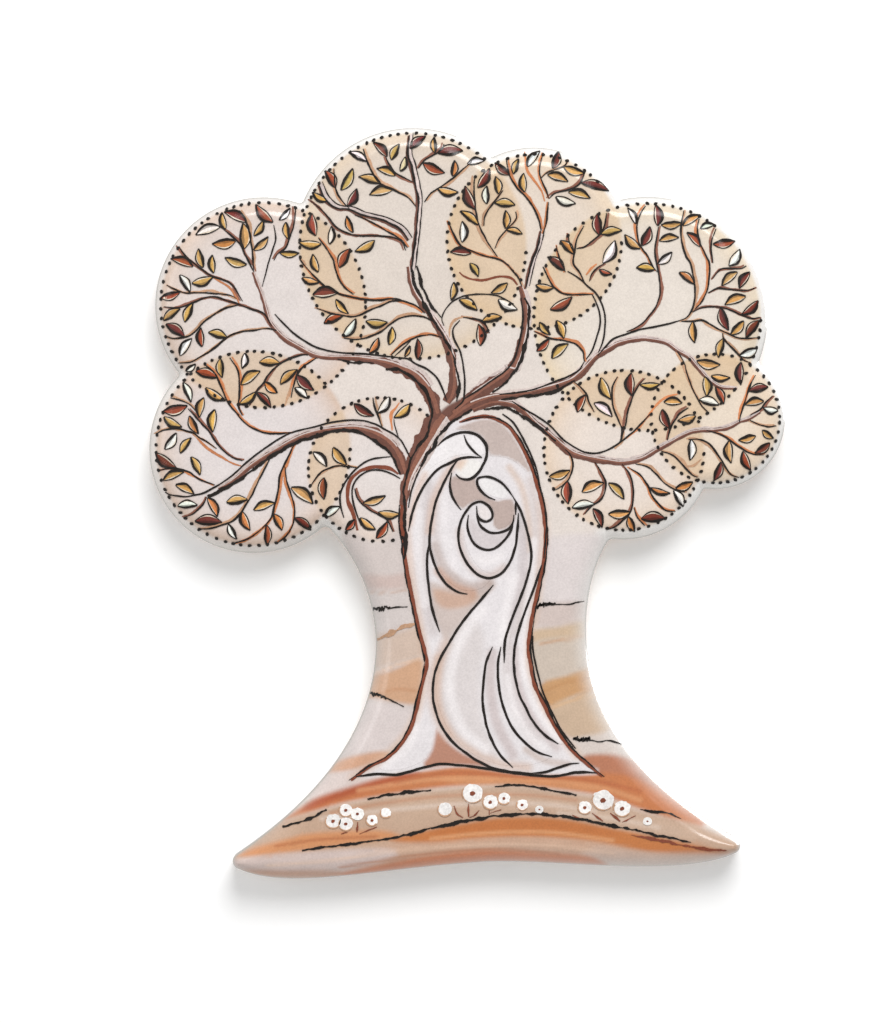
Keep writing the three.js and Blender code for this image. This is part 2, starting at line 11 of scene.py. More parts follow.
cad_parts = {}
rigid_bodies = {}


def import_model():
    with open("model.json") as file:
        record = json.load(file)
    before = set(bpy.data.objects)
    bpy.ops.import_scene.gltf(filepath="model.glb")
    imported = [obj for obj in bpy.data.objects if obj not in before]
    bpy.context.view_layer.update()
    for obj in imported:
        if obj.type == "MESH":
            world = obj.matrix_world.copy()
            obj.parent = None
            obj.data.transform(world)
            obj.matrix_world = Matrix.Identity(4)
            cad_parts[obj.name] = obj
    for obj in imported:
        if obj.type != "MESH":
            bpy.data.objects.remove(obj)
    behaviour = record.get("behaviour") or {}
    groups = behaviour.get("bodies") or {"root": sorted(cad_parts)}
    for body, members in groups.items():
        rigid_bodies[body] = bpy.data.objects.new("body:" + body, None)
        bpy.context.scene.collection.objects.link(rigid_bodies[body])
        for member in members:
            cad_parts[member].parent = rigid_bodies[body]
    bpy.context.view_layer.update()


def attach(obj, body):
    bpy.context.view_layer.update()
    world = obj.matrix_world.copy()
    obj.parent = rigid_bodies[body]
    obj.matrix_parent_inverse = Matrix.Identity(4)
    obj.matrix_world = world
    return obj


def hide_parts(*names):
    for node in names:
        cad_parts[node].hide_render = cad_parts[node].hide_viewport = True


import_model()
MM = 0.001
RNG = np.random.default_rng(7)

# ---- sizes of the body, in millimetres ---------------------------------------------------------
THICKNESS = 7.0
WALL = 4.0
SHOULDER = 2.3
GLAZE = 0.3
CUSP_RADIUS = 0.5
NOTCH_RADIUS = 0.8
TIP_RADIUS = 0.9
REACH_SHARE = 0.9
STEP = 0.35             # outline facets
CELL = 0.22             # washes are painted at this spacing
POCKET_RADIUS = 5.3
POCKET_DEPTH = 2.6
MAGNET_HEIGHTS = {"upper": 20.0, "lower": -28.0}

LOBES = [(-23.6, 6.1, 11.5), (-22.5, 21.9, 11.95), (-6.0, 28.4, 13.1), (7.35, 28.9, 10.45),
         (19.8, 20.6, 13.3), (27.3, 9.4, 7.75), (17.2, 5.9, 9.8)]
# Centres and radii of the dotted circles printed inside the lobes.
RINGS = [(-23.6, 6.1, 10.7), (-22.5, 21.9, 11.3), (-6.0, 28.4, 12.45), (7.35, 28.9, 9.6),
         (19.8, 20.6, 12.5), (27.3, 9.4, 7.1), (17.2, 5.9, 8.8), (-9.6, 3.8, 7.9)]


# ---- outline, the same walk as the solid's, only finer --------------------------------------------

def unit(angle):
    return np.array([math.cos(angle), math.sin(angle)])


def heading(a, b):
    return math.atan2(b[1] - a[1], b[0] - a[0])


def walk_arc(centre, radius, start, end, turn, step=STEP):
    sweep = ((end - start) * turn) % (2 * math.pi)
    count = max(4, math.ceil(radius * sweep / step))
    out = []
    for i in range(count + 1):
        u = unit(start + turn * sweep * i / count)
        out.append((np.array(centre) + u * radius, u * turn))
    return out


def walk_bezier(a, b, c, d, step=STEP):
    a, b, c, d = (np.array(p, float) for p in (a, b, c, d))
    t = np.linspace(0, 1, 400)[:, None]
    line = a * (1 - t) ** 3 + 3 * b * t * (1 - t) ** 2 + 3 * c * t ** 2 * (1 - t) + d * t ** 3
    slope = 3 * (b - a) * (1 - t) ** 2 + 6 * (c - b) * t * (1 - t) + 3 * (d - c) * t ** 2
    run = np.concatenate([[0], np.cumsum(np.linalg.norm(np.diff(line, axis=0), axis=1))])
    even = np.linspace(0, run[-1], max(2, math.ceil(run[-1] / step)) + 1)
    x, z = (np.interp(even, run, line[:, k]) for k in (0, 1))
    tx, tz = (np.interp(even, run, slope[:, k]) for k in (0, 1))
    size = np.hypot(tx, tz)
    return [(np.array(p), np.array(n)) for p, n in zip(zip(x, z), zip(tz / size, -tx / size))]


def touch(centre, radius, handle, turn, arriving):
    spread = math.acos(radius / math.dist(centre, handle))
    return heading(centre, handle) + spread * turn * (1 if arriving else -1)


def on(centre, radius, angle):
    return np.array(centre) + unit(angle) * radius


def notch_between(a, b):
    (xa, za, ra), (xb, zb, rb) = a, b
    ra, rb = ra + CUSP_RADIUS, rb + CUSP_RADIUS
    span = math.dist((xa, za), (xb, zb))
    along = (ra * ra - rb * rb + span * span) / (2 * span)
    aside = math.sqrt(ra * ra - along * along)
    ux, uz = (xb - xa) / span, (zb - za) / span
    spots = [np.array([xa + ux * along - s * uz * aside, za + uz * along + s * ux * aside]) for s in (1, -1)]
    return max(spots, key=lambda p: math.dist(p, (0, 15)))


def tree_outline():
    left = on(LOBES[0][:2], LOBES[0][2] + NOTCH_RADIUS, math.radians(-50))
    right = on(LOBES[-1][:2], LOBES[-1][2] + NOTCH_RADIUS, math.radians(-96))
    cusps = [left] + [notch_between(a, b) for a, b in zip(LOBES, LOBES[1:])] + [right]
    runs = []
    for i, (x, z, r) in enumerate(LOBES):
        c = (x, z)
        runs.append(walk_arc(c, r, heading(c, cusps[i]), heading(c, cusps[i + 1]), -1))
        if i + 1 < len(LOBES):
            n = cusps[i + 1]
            runs.append(walk_arc(n, CUSP_RADIUS, heading(n, c), heading(n, LOBES[i + 1][:2]), 1, 0.12))
    tip_r, tip_l = (29.2, -37.7), (-25.0, -39.4)
    sweep_r, sweep_l = (16.6, -29.3), (-13, -30.3)
    out_r = touch(right, NOTCH_RADIUS, (13.9, -6.6), 1, False)
    in_tr, out_tr = touch(tip_r, TIP_RADIUS, sweep_r, -1, True), touch(tip_r, TIP_RADIUS, (23.5, -41.4), -1,
        False)
    in_tl, out_tl = touch(tip_l, TIP_RADIUS, (-20, -42.8), -1, True), touch(tip_l, TIP_RADIUS, sweep_l, -1,
        False)
    in_l = touch(left, NOTCH_RADIUS, (-12.6, -5.4), 1, True)
    runs += [
        walk_arc(right, NOTCH_RADIUS, heading(right, LOBES[-1][:2]), out_r, 1, 0.15),
        walk_bezier(on(right, NOTCH_RADIUS, out_r), (13.9, -6.6), (13, -10.5), (13.1, -14.2)),
        walk_bezier((13.1, -14.2), (13.2, -21), sweep_r, on(tip_r, TIP_RADIUS, in_tr)),
        walk_arc(tip_r, TIP_RADIUS, in_tr, out_tr, -1, 0.15),
        walk_bezier(on(tip_r, TIP_RADIUS, out_tr), (23.5, -41.4), (9, -39.1), (2, -39.5)),
        walk_bezier((2, -39.5), (-10, -40.2), (-20, -42.8), on(tip_l, TIP_RADIUS, in_tl)),
        walk_arc(tip_l, TIP_RADIUS, in_tl, out_tl, -1, 0.15),
        walk_bezier(on(tip_l, TIP_RADIUS, out_tl), sweep_l, (-10, -21.5), (-10.1, -15)),
        walk_bezier((-10.1, -15), (-10.3, -9.8), (-12.6, -5.4), on(left, NOTCH_RADIUS, in_l)),
        walk_arc(left, NOTCH_RADIUS, in_l, heading(left, LOBES[0][:2]), 1, 0.15),
    ]
    spots = [s for run in runs for s in run[:-1]]
    return np.array([s[0] for s in spots]), np.array([s[1] for s in spots])


AT, INWARD = tree_outline()


def shoulder_widths():
    chord = AT[None, :, :] - AT[:, None, :]
    depth = 2 * (chord * INWARD[:, None, :]).sum(2)
    reach = np.where(depth > 1e-6, (chord ** 2).sum(2) / np.maximum(depth, 1e-6), 1e9).min(1)
    width = np.minimum(SHOULDER, REACH_SHARE * reach)
    kernel = np.hanning(17) / np.hanning(17).sum()
    padded = np.concatenate([width[-8:], width, width[:8]])
    return np.minimum(width, np.convolve(padded, kernel, "valid"))


WIDTHS = shoulder_widths()
TREE = kdtree.KDTree(len(AT))
for _i, _p in enumerate(AT):
    TREE.insert((_p[0], _p[1], 0), _i)
TREE.balance()


def edge_distance(points):
    """Distance inside the outline, and the shoulder's width there."""
    found = [TREE.find((p[0], p[1], 0)) for p in points]
    index = np.array([f[1] for f in found])
    far = np.array([f[2] for f in found])
    side = ((points - AT[index]) * INWARD[index]).sum(1)
    near = np.abs(far) < 1.0
    depth = np.where(near, side, np.sign(side) * far)
    return depth, WIDTHS[index]


def surface(points):
    """y of the glazed front over the given points."""
    points = np.asarray(points, float)
    depth, width = edge_distance(points)
    turn = np.clip(1 - depth / width, 0, 1)
    return -(WALL + (THICKNESS - WALL) * np.sqrt(1 - turn ** 2))


# ---- meshes ---------------------------------------------------------------------------------------

def make_object(name, verts, faces, smooth=None, colours=None):
    mesh = bpy.data.meshes.new(name)
    mesh.from_pydata((np.asarray(verts, float) * MM).tolist(), [], faces)
    mesh.validate()
    flags = np.ones(len(mesh.polygons), bool) if smooth is None else np.asarray(smooth, bool)
    if len(flags) == len(mesh.polygons):
        mesh.polygons.foreach_set("use_smooth", flags)
    if colours is not None:
        layer = mesh.color_attributes.new("paint", "FLOAT_COLOR", "POINT")
        rgba = np.ones((len(mesh.vertices), 4), np.float32)
        rgba[:, :3] = colours
        layer.data.foreach_set("color", rgba.ravel())
    mesh.update()
    obj = bpy.data.objects.new(name, mesh)
    bpy.context.scene.collection.objects.link(obj)
    return obj


def linear(rgb):
    c = np.asarray(rgb, float) / 255
    return np.where(c <= 0.04045, c / 12.92, ((c + 0.055) / 1.055) ** 2.4)


def ring(inset, y):
    flat = AT + INWARD * np.asarray(inset).reshape(-1, 1)
    return np.column_stack([flat[:, 0], np.full(len(AT), y), flat[:, 1]])


def strips(first, second, size):
    return [(first + i, second + i, second + (i + 1) % size, first + (i + 1) % size) for i in range(size)]


def shell_rings(coat, steps):
    rings = []
    for k in range(steps + 1):
        turn = math.pi / 2 * k / steps
        rings.append(ring(coat + (WIDTHS - coat) * (1 - math.cos(turn)),
            -(WALL + (THICKNESS - WALL - coat) * math.sin(turn))))
    return rings


def front_grid():
    """Square cells over the flat of the front, and the loop of their outer edges."""
    x = np.arange(-34, 34.01, CELL)
    z = np.arange(-41, 41.01, CELL)
    gx, gz = np.meshgrid(x, z, indexing="ij")
    spots = np.column_stack([gx.ravel(), gz.ravel()])
    depth, width = edge_distance(spots)
    inside = (depth > width + 0.25).reshape(gx.shape)
    cell = inside[:-1, :-1] & inside[1:, :-1] & inside[1:, 1:] & inside[:-1, 1:]
    return spots, cell, gx.shape


def front_mesh():
    """Ring, grid and the stitched band between them: vertices (x, z) and faces that look to -Y."""
    spots, cell, shape = front_grid()
    number = -np.ones(shape, int)
    quads = np.argwhere(cell)
    corners = [(0, 0), (1, 0), (1, 1), (0, 1)]
    used = np.zeros(shape, bool)
    for dx, dz in corners:
        used[quads[:, 0] + dx, quads[:, 1] + dz] = True
    number[used] = np.arange(used.sum())
    points = spots[used.ravel()]
    faces = np.column_stack([number[quads[:, 0] + dx, quads[:, 1] + dz] for dx, dz in corners])
    edges = np.concatenate([faces[:, [k, (k + 1) % 4]] for k in range(4)])
    key = np.sort(edges, axis=1)
    _, index, count = np.unique(key, axis=0, return_index=True, return_counts=True)
    border = edges[index[count == 1]]
    loop = np.unique(border)
    rim = (AT + INWARD * WIDTHS.reshape(-1, 1))
    local = {int(v): i for i, v in enumerate(loop)}
    base = len(loop)
    cdt_points = [Vector(points[v]) for v in loop] + [Vector(p) for p in rim]
    cdt_edges = [(local[int(a)], local[int(b)]) for a, b in border]
    cdt_edges += [(base + i, base + (i + 1) % len(rim)) for i in range(len(rim))]
    made, _, tris, origin, _, _ = delaunay_2d_cdt(cdt_points, cdt_edges, [], 1, 1e-6)
    index_of = []
    for old in origin:
        if not old:
            index_of.append(None)
        elif old[0] < base:
            index_of.append(int(loop[old[0]]))
        else:
            index_of.append(("rim", old[0] - base))
    band = []
    for tri in tris:
        mid = sum((made[v] for v in tri), Vector((0, 0))) / 3
        i, k = int((mid.x + 34) // CELL), int((mid.y + 41) // CELL)
        in_cell = 0 <= i < cell.shape[0] and 0 <= k < cell.shape[1] and cell[i, k]
        if not in_cell:
            band.append([index_of[v] for v in tri])
    return points, faces, band


def glaze_piece():
    """White glaze over front and edge, a closed coat, with the washes painted on its front."""
    size = len(AT)
    lip = [(0.30, 0.0), (0.14, -0.03), (0.04, -0.13), (0.0, -0.32), (0.0, -1.4), (0.0, -2.8)]
    rings = shell_rings(GLAZE, 5)[::-1]
    rings += [ring(np.full(size, inset), y) for inset, y in lip]
    rings += shell_rings(0.0, 14)
    verts = np.concatenate(rings)
    faces = [f for k in range(len(rings) - 1) for f in strips(k * size, (k + 1) * size, size)]
    faces.append(tuple(range(size)))
    last = (len(rings) - 1) * size
    points, quads, band = front_mesh()
    start = len(verts)
    flat = np.column_stack([points[:, 0], np.full(len(points), -THICKNESS), points[:, 1]])
    verts = np.concatenate([verts, flat])
    faces += (quads + start).tolist()
    for tri in band:
        faces.append(tuple(last + v[1] if isinstance(v, tuple) else start + v for v in tri))
    colours = paint_front(verts)
    return make_object("glazed_front", verts, faces, None, colours)


# ---- painting the washes ----------------------------------------------------------------------------

def spline(points, step=0.4, closed=False):
    """Smooth line through the points, at an even step."""
    p = np.asarray(points, float)
    if closed:
        p = np.concatenate([p[-1:], p, p[:2]])
    else:
        p = np.concatenate([2 * p[:1] - p[1:2], p, 2 * p[-1:] - p[-2:-1]])
    parts = []
    for a, b, c, d in zip(p, p[1:], p[2:], p[3:]):
        n = max(2, math.ceil(math.dist(b[:2], c[:2]) / step * 2))
        t = np.linspace(0, 1, n, endpoint=False)[:, None]
        parts.append(0.5 * (2 * b + (c - a) * t + (2 * a - 5 * b + 4 * c - d) * t ** 2
                             + (3 * b - a - 3 * c + d) * t ** 3))
    line = np.concatenate(parts + [p[-2:-1]])
    run = np.concatenate([[0], np.cumsum(np.linalg.norm(np.diff(line[:, :2], axis=0), axis=1))])
    keep = np.concatenate([[True], np.diff(run) > 1e-9])
    line, run = line[keep], run[keep]
    even = np.linspace(0, run[-1], max(2, math.ceil(run[-1] / step) + 1))
    out = np.column_stack([np.interp(even, run, line[:, k]) for k in range(line.shape[1])])
    return out[:-1] if closed else out


def read(text):
    """Points written as 'x z, x z, ...'."""
    return np.array([[float(v) for v in pair.split()] for pair in text.split(",")])


def line_distance(spots, line):
    best = np.full(len(spots), 1e9)
    for a, b in zip(line[:-1], line[1:]):
        ab = b - a
        t = np.clip(((spots - a) @ ab) / max(ab @ ab, 1e-12), 0, 1)
        best = np.minimum(best, ((spots - a - t[:, None] * ab) ** 2).sum(1))
    return np.sqrt(best)


def inside_polygon(spots, ring_points):
    inside = np.zeros(len(spots), bool)
    nxt = np.roll(ring_points, -1, axis=0)
    for (xa, za), (xb, zb) in zip(ring_points, nxt):
        if za != zb:
            crosses = (za > spots[:, 1]) != (zb > spots[:, 1])
            inside ^= crosses & (spots[:, 0] < (xb - xa) * (spots[:, 1] - za) / (zb - za) + xa)
    return inside


def smoothstep(x):
    x = np.clip(x, 0, 1)
    return x * x * (3 - 2 * x)


class Canvas:
    """Colours on a set of points, laid on as washes and brush marks."""

    def __init__(self, spots, colour):
        self.spots = spots
        self.colour = np.tile(linear(colour), (len(spots), 1))

    def blend(self, index, colour, amount):
        amount = np.asarray(amount).reshape(-1, 1)
        self.colour[index] = self.colour[index] * (1 - amount) + linear(colour) * amount

    def near(self, line, margin):
        lo, hi = line.min(0) - margin, line.max(0) + margin
        return np.nonzero(((self.spots >= lo) & (self.spots <= hi)).all(1))[0]

    def wash(self, text, colour, soft=0.3, amount=1.0, smooth=True):
        outline = read(text)
        outline = spline(outline, 0.8, True) if smooth else outline
        index = self.near(outline, soft)
        spots = self.spots[index]
        away = line_distance(spots, np.concatenate([outline, outline[:1]]))
        signed = np.where(inside_polygon(spots, outline), away, -away)
        self.blend(index, colour, amount * smoothstep(0.5 + signed / (2 * soft)))

    def brush(self, text, width, colour, soft=0.3, amount=1.0):
        line = spline(read(text), 0.6)
        index = self.near(line, width / 2 + soft)
        away = line_distance(self.spots[index], line)
        self.blend(index, colour, amount * smoothstep(0.5 + (width / 2 - away) / (2 * soft)))


# ---- what is printed --------------------------------------------------------------------------
# Leaves by colour: stalk end, tip, and a width where it is not the usual share of the length.
LEAVES = {
    "white": """
        -27.2 30.5 -29.9 29.6, -20.7 31.2 -19.5 32.6, -11.1 37.7 -13.1 38.8, -15.2 28.6 -15 30.55,
        -0.6 28.8 -0.6 31.1, 0 37.4 1.9 37.8, 2.1 33 2.1 35, 6.6 37.1 8 38.9, 9.7 33.8 11.9 33.05,
        14.9 26.5 16.2 29, 18.5 30.8 17.6 32.6, 20.95 26.4 22.5 27.7, 25.6 30.3 27.2 30.75,
        28.75 26.2 30 28.06, -31.65 25.2 -30.5 23.3, -31.6 16.3 -30.3 18.2, -31.3 13.4 -30.4 11.2,
        -24.5 16.6 -24.8 14.9, -19 12.8 -17.6 11.6, -31 14.6 -29.9 15.4, -13.7 18.4 -12.3 20.4,
        -8.6 11.8 -9.9 10, 3.4 22.5 5.5 21.4, 13.9 11.1 15.9 9.6, 31.9 17.1 29.9 16.3,
        25.5 11.5 27.7 10.9, 34.2 10.3 32.5 10.6, -33.3 6 -32 7.8, -31.9 -0.2 -29.7 -0.1,
        -26.3 -2.2 -25.4 -3.9, -17 5.7 -15.5 4.1, -15.7 -1.5 -14 -0.3, 11.5 -0.4 14 0,
        24.6 7.1 24.5 4.8, 22.7 1.5 23.8 -0.3""",
    "gold": """
        -26.6 30.2 -27 32.1, -24.55 28.06 -24.7 30.9, -24.3 26.3 -26.7 27.1, -23.5 29.5 -22.45 31.2,
        -23.5 27.9 -21.9 29.4, -20 31 -19.7 29.1, -20.65 27.6 -18.5 27.6, -29.1 26 -29.6 28.1,
        -27.9 25.4 -28.05 27.4, -8.4 37.85 -7.5 39.6, -7.95 36.1 -10 36.9, -3.6 38.6 -3.7 40.4,
        -3.3 34.7 -1 34.3, -8.3 34.5 -10.8 34, -9.55 35.3 -12 36, -13.9 34.5 -12.6 36.9,
        -15.4 33.3 -17.1 34.35, -16.1 28.6 -18.6 28.8, -10.2 29 -12.4 27.8, -16.4 25.5 -17 27.5,
        1.2 30.7 -0.8 32.25, 3.4 34.1 3.1 36.05, 3 33.1 5.25 32.9, 4.2 30.3 4.2 32.3,
        4.3 30.2 6.05 29.7, 5.06 36.3 5.6 38, 6.3 34.3 6.2 36.4, 10.6 37.1 12.9 36.4,
        8.8 36.2 11.05 35.45, 11.1 34.3 13.5 33.6, 14.7 29.7 17 30.1, 19 28.1 17.3 29.65,
        21.3 30.7 23.6 30.9, 23.7 30.6 25.7 31.8, 21.1 28.95 23.25 29.3, 20.6 25.8 18.55 26,
        -30.3 24.3 -28 25, -33.5 20.2 -31.6 21.5, -31.1 20 -30.2 22.1, -28.5 18.9 -26.4 18.3,
        -27.2 16 -27 13.9, -28.8 12.8 -26.6 11.4, -29 11.7 -29.5 9.5, -22.9 15.6 -20.6 15.5,
        -24.9 13.1 -22.8 14.6, -25.1 11 -23.2 12.4, -20.6 13.2 -18.7 14.8, -18.2 24.9 -16.3 24.4,
        -14.5 22.5 -13.1 20.9, -11.2 20.1 -8.8 20, -8.6 17.5 -8.3 19.5, -6.9 16.2 -6.3 17.4,
        -1.5 24.4 -1.8 22.4, -0.9 22.5 1.1 21.3, -6.3 11 -8.1 9.5, 0.3 26.5 1.2 25,
        4.4 24.3 2.6 23.2, 1.6 20.1 3.8 20.6, 7.5 24.1 9.5 23.8, 7.9 20 9.1 18.6,
        9.8 20.2 10.6 18.2, 9.3 16 11.1 17.6, 14.7 13.9 15.8 11.5, 29.7 25.5 28 24,
        30.6 22.8 28.3 21.9, 30.4 20.1 28.9 18.6, 24.8 20.1 25 17.7, 28.1 18.2 27.6 16.1,
        25.2 15.7 27.8 15.3, 26.8 14.1 28.9 13.9, 26.1 14 26.3 11.8, 32.6 11.3 30.5 10.9,
        19 13.1 21.2 13.2, 21.6 11.2 23.6 11.1, 25.1 9.7 23.1 9.2, -33.4 9.6 -31.4 8.5,
        -27.8 10.4 -28 7.9, -31.6 5.6 -30.4 7.3, -30.4 5.2 -29.4 3.2, -33.5 2.6 -31.2 3.5,
        -32.1 2.1 -30.1 1.1, -26.5 0.2 -24.2 0.5, -23.5 -0.7 -21.2 0.1, -19.4 1.8 -17 0 1.1,
        -14.8 6.2 -13.3 4.3, -11.8 -1.5 -10.1 -2.8, -11.5 0.1 -9 0.9, -9.8 -0.9 -7.4 -1.1,
        9 3 11.3 3.7, 12.6 1.3 15 2.3, 15.5 2.3 17.2 0.5, 15.5 -1.1 17.9 -0.9, 28.8 7 29 4.5,
        31.7 7.5 29.8 7, 32.4 8.1 33.7 7.2""",
    "maroon": """
        -24.3 31 -26.8 32.15, -8.85 38.2 -10.4 39.8, -6.35 39.1 -4.6 40.5, -3.3 38.65 -0.5 38.9,
        -13.2 32.8 -12.2 34.7, 0.4 27.55 -1.9 27.7, 0.85 32.4 -0.25 35, 1.1 34.8 2.4 36.95,
        4.6 36.2 3 37.6, 9.4 36.9 10.05 38.9, 12.5 35.35 15.6 34.5, 14.5 29.6 14.3 32,
        10.7 25.7 8.8 27.2, 19.2 28.4 20.1 30.5, 20.9 30.6 20.7 33, -33.2 19.8 -31.1 18.4,
        -23.2 12.3 -21.6 10.6, -18.8 14.2 -16.9 12.5, -17 23 -14.2 23.2, -5.5 15.9 -5.5 18.2,
        -12.5 11 -10.3 9.7, 18 14.4 18.1 11.9, 31.1 25.5 29.9 23.7, 32 22.4 30.1 20.8,
        27.8 21.6 28.7 19.1, 32.1 20.2 30.6 18.3, 30.1 15.6 30.1 13.1, 33.1 12.9 30.9 12.4,
        21.4 10.4 22.2 8.3, -34.3 5.6 -32 4, -30 -1.9 -27 -2, -19 -1.5 -17.2 -2.9,
        13.8 -0.5 14.8 -2.6, 33.3 6.7 31.6 5.6, 27.9 4.6 27.1 2.5, 19.1 -1.6 21.8 -1.6 1.1""",
    "orange": """
        -25.5 28.9 -28.1 28.6, -1.6 36.05 -1.4 37.8, -12.6 29.85 -13.3 31.7, 11.65 27.5 10.2 29,
        -22.3 13.4 -20.9 12.2, -10.8 16.6 -9.8 18.3, 23.3 25.5 24.9 24.2, -30.6 9.7 -29.6 7.7,
        -28.6 0.7 -27.5 -1.4, -24.8 -0.8 -23.9 -2.9, -21.3 -1.1 -20.4 -2.9, 17.7 -1.4 18.4 -3.1,
        22.9 1.7 24.8 2.4, 20.1 1.8 22.3 1.2""",
    "rust": """
        -21.4 31 -23.3 33, -30.2 26.1 -32.7 27, -4.9 37.5 -2.5 36.4, -14.5 34.8 -15.7 36.75,
        -16.7 29.5 -17.1 32, -14.1 26 -12.9 28.1, 25.6 28.3 24.1 29.85, 27 28.6 29.5 28.95,
        -33.8 22.7 -31.6 23.3, -29.2 17.3 -29.3 19.4, -29.9 14.6 -27.5 13.9, -33.5 10.2 -30.8 10.8,
        -15.8 19.9 -13.7 20.7, 1.4 17.4 1.2 19.8, 9.1 21.4 11.5 22.8, 14.5 25.8 15.9 25.3,
        7.6 16.8 9 18.2, 12.1 10.1 13 12, 27.3 12.9 28.2 11, -22.1 -2.3 -22.1 -4.6,
        -15.8 2.9 -15.8 0.5, -13.4 -2.9 -12.4 -1.7, -10 -3.8 -8.8 -1.9, 11 2.5 11.1 0,
        30.3 5.8 31.2 3.7""",
    "cream": """
        -7.4 36.6 -6.85 38.2""",
}

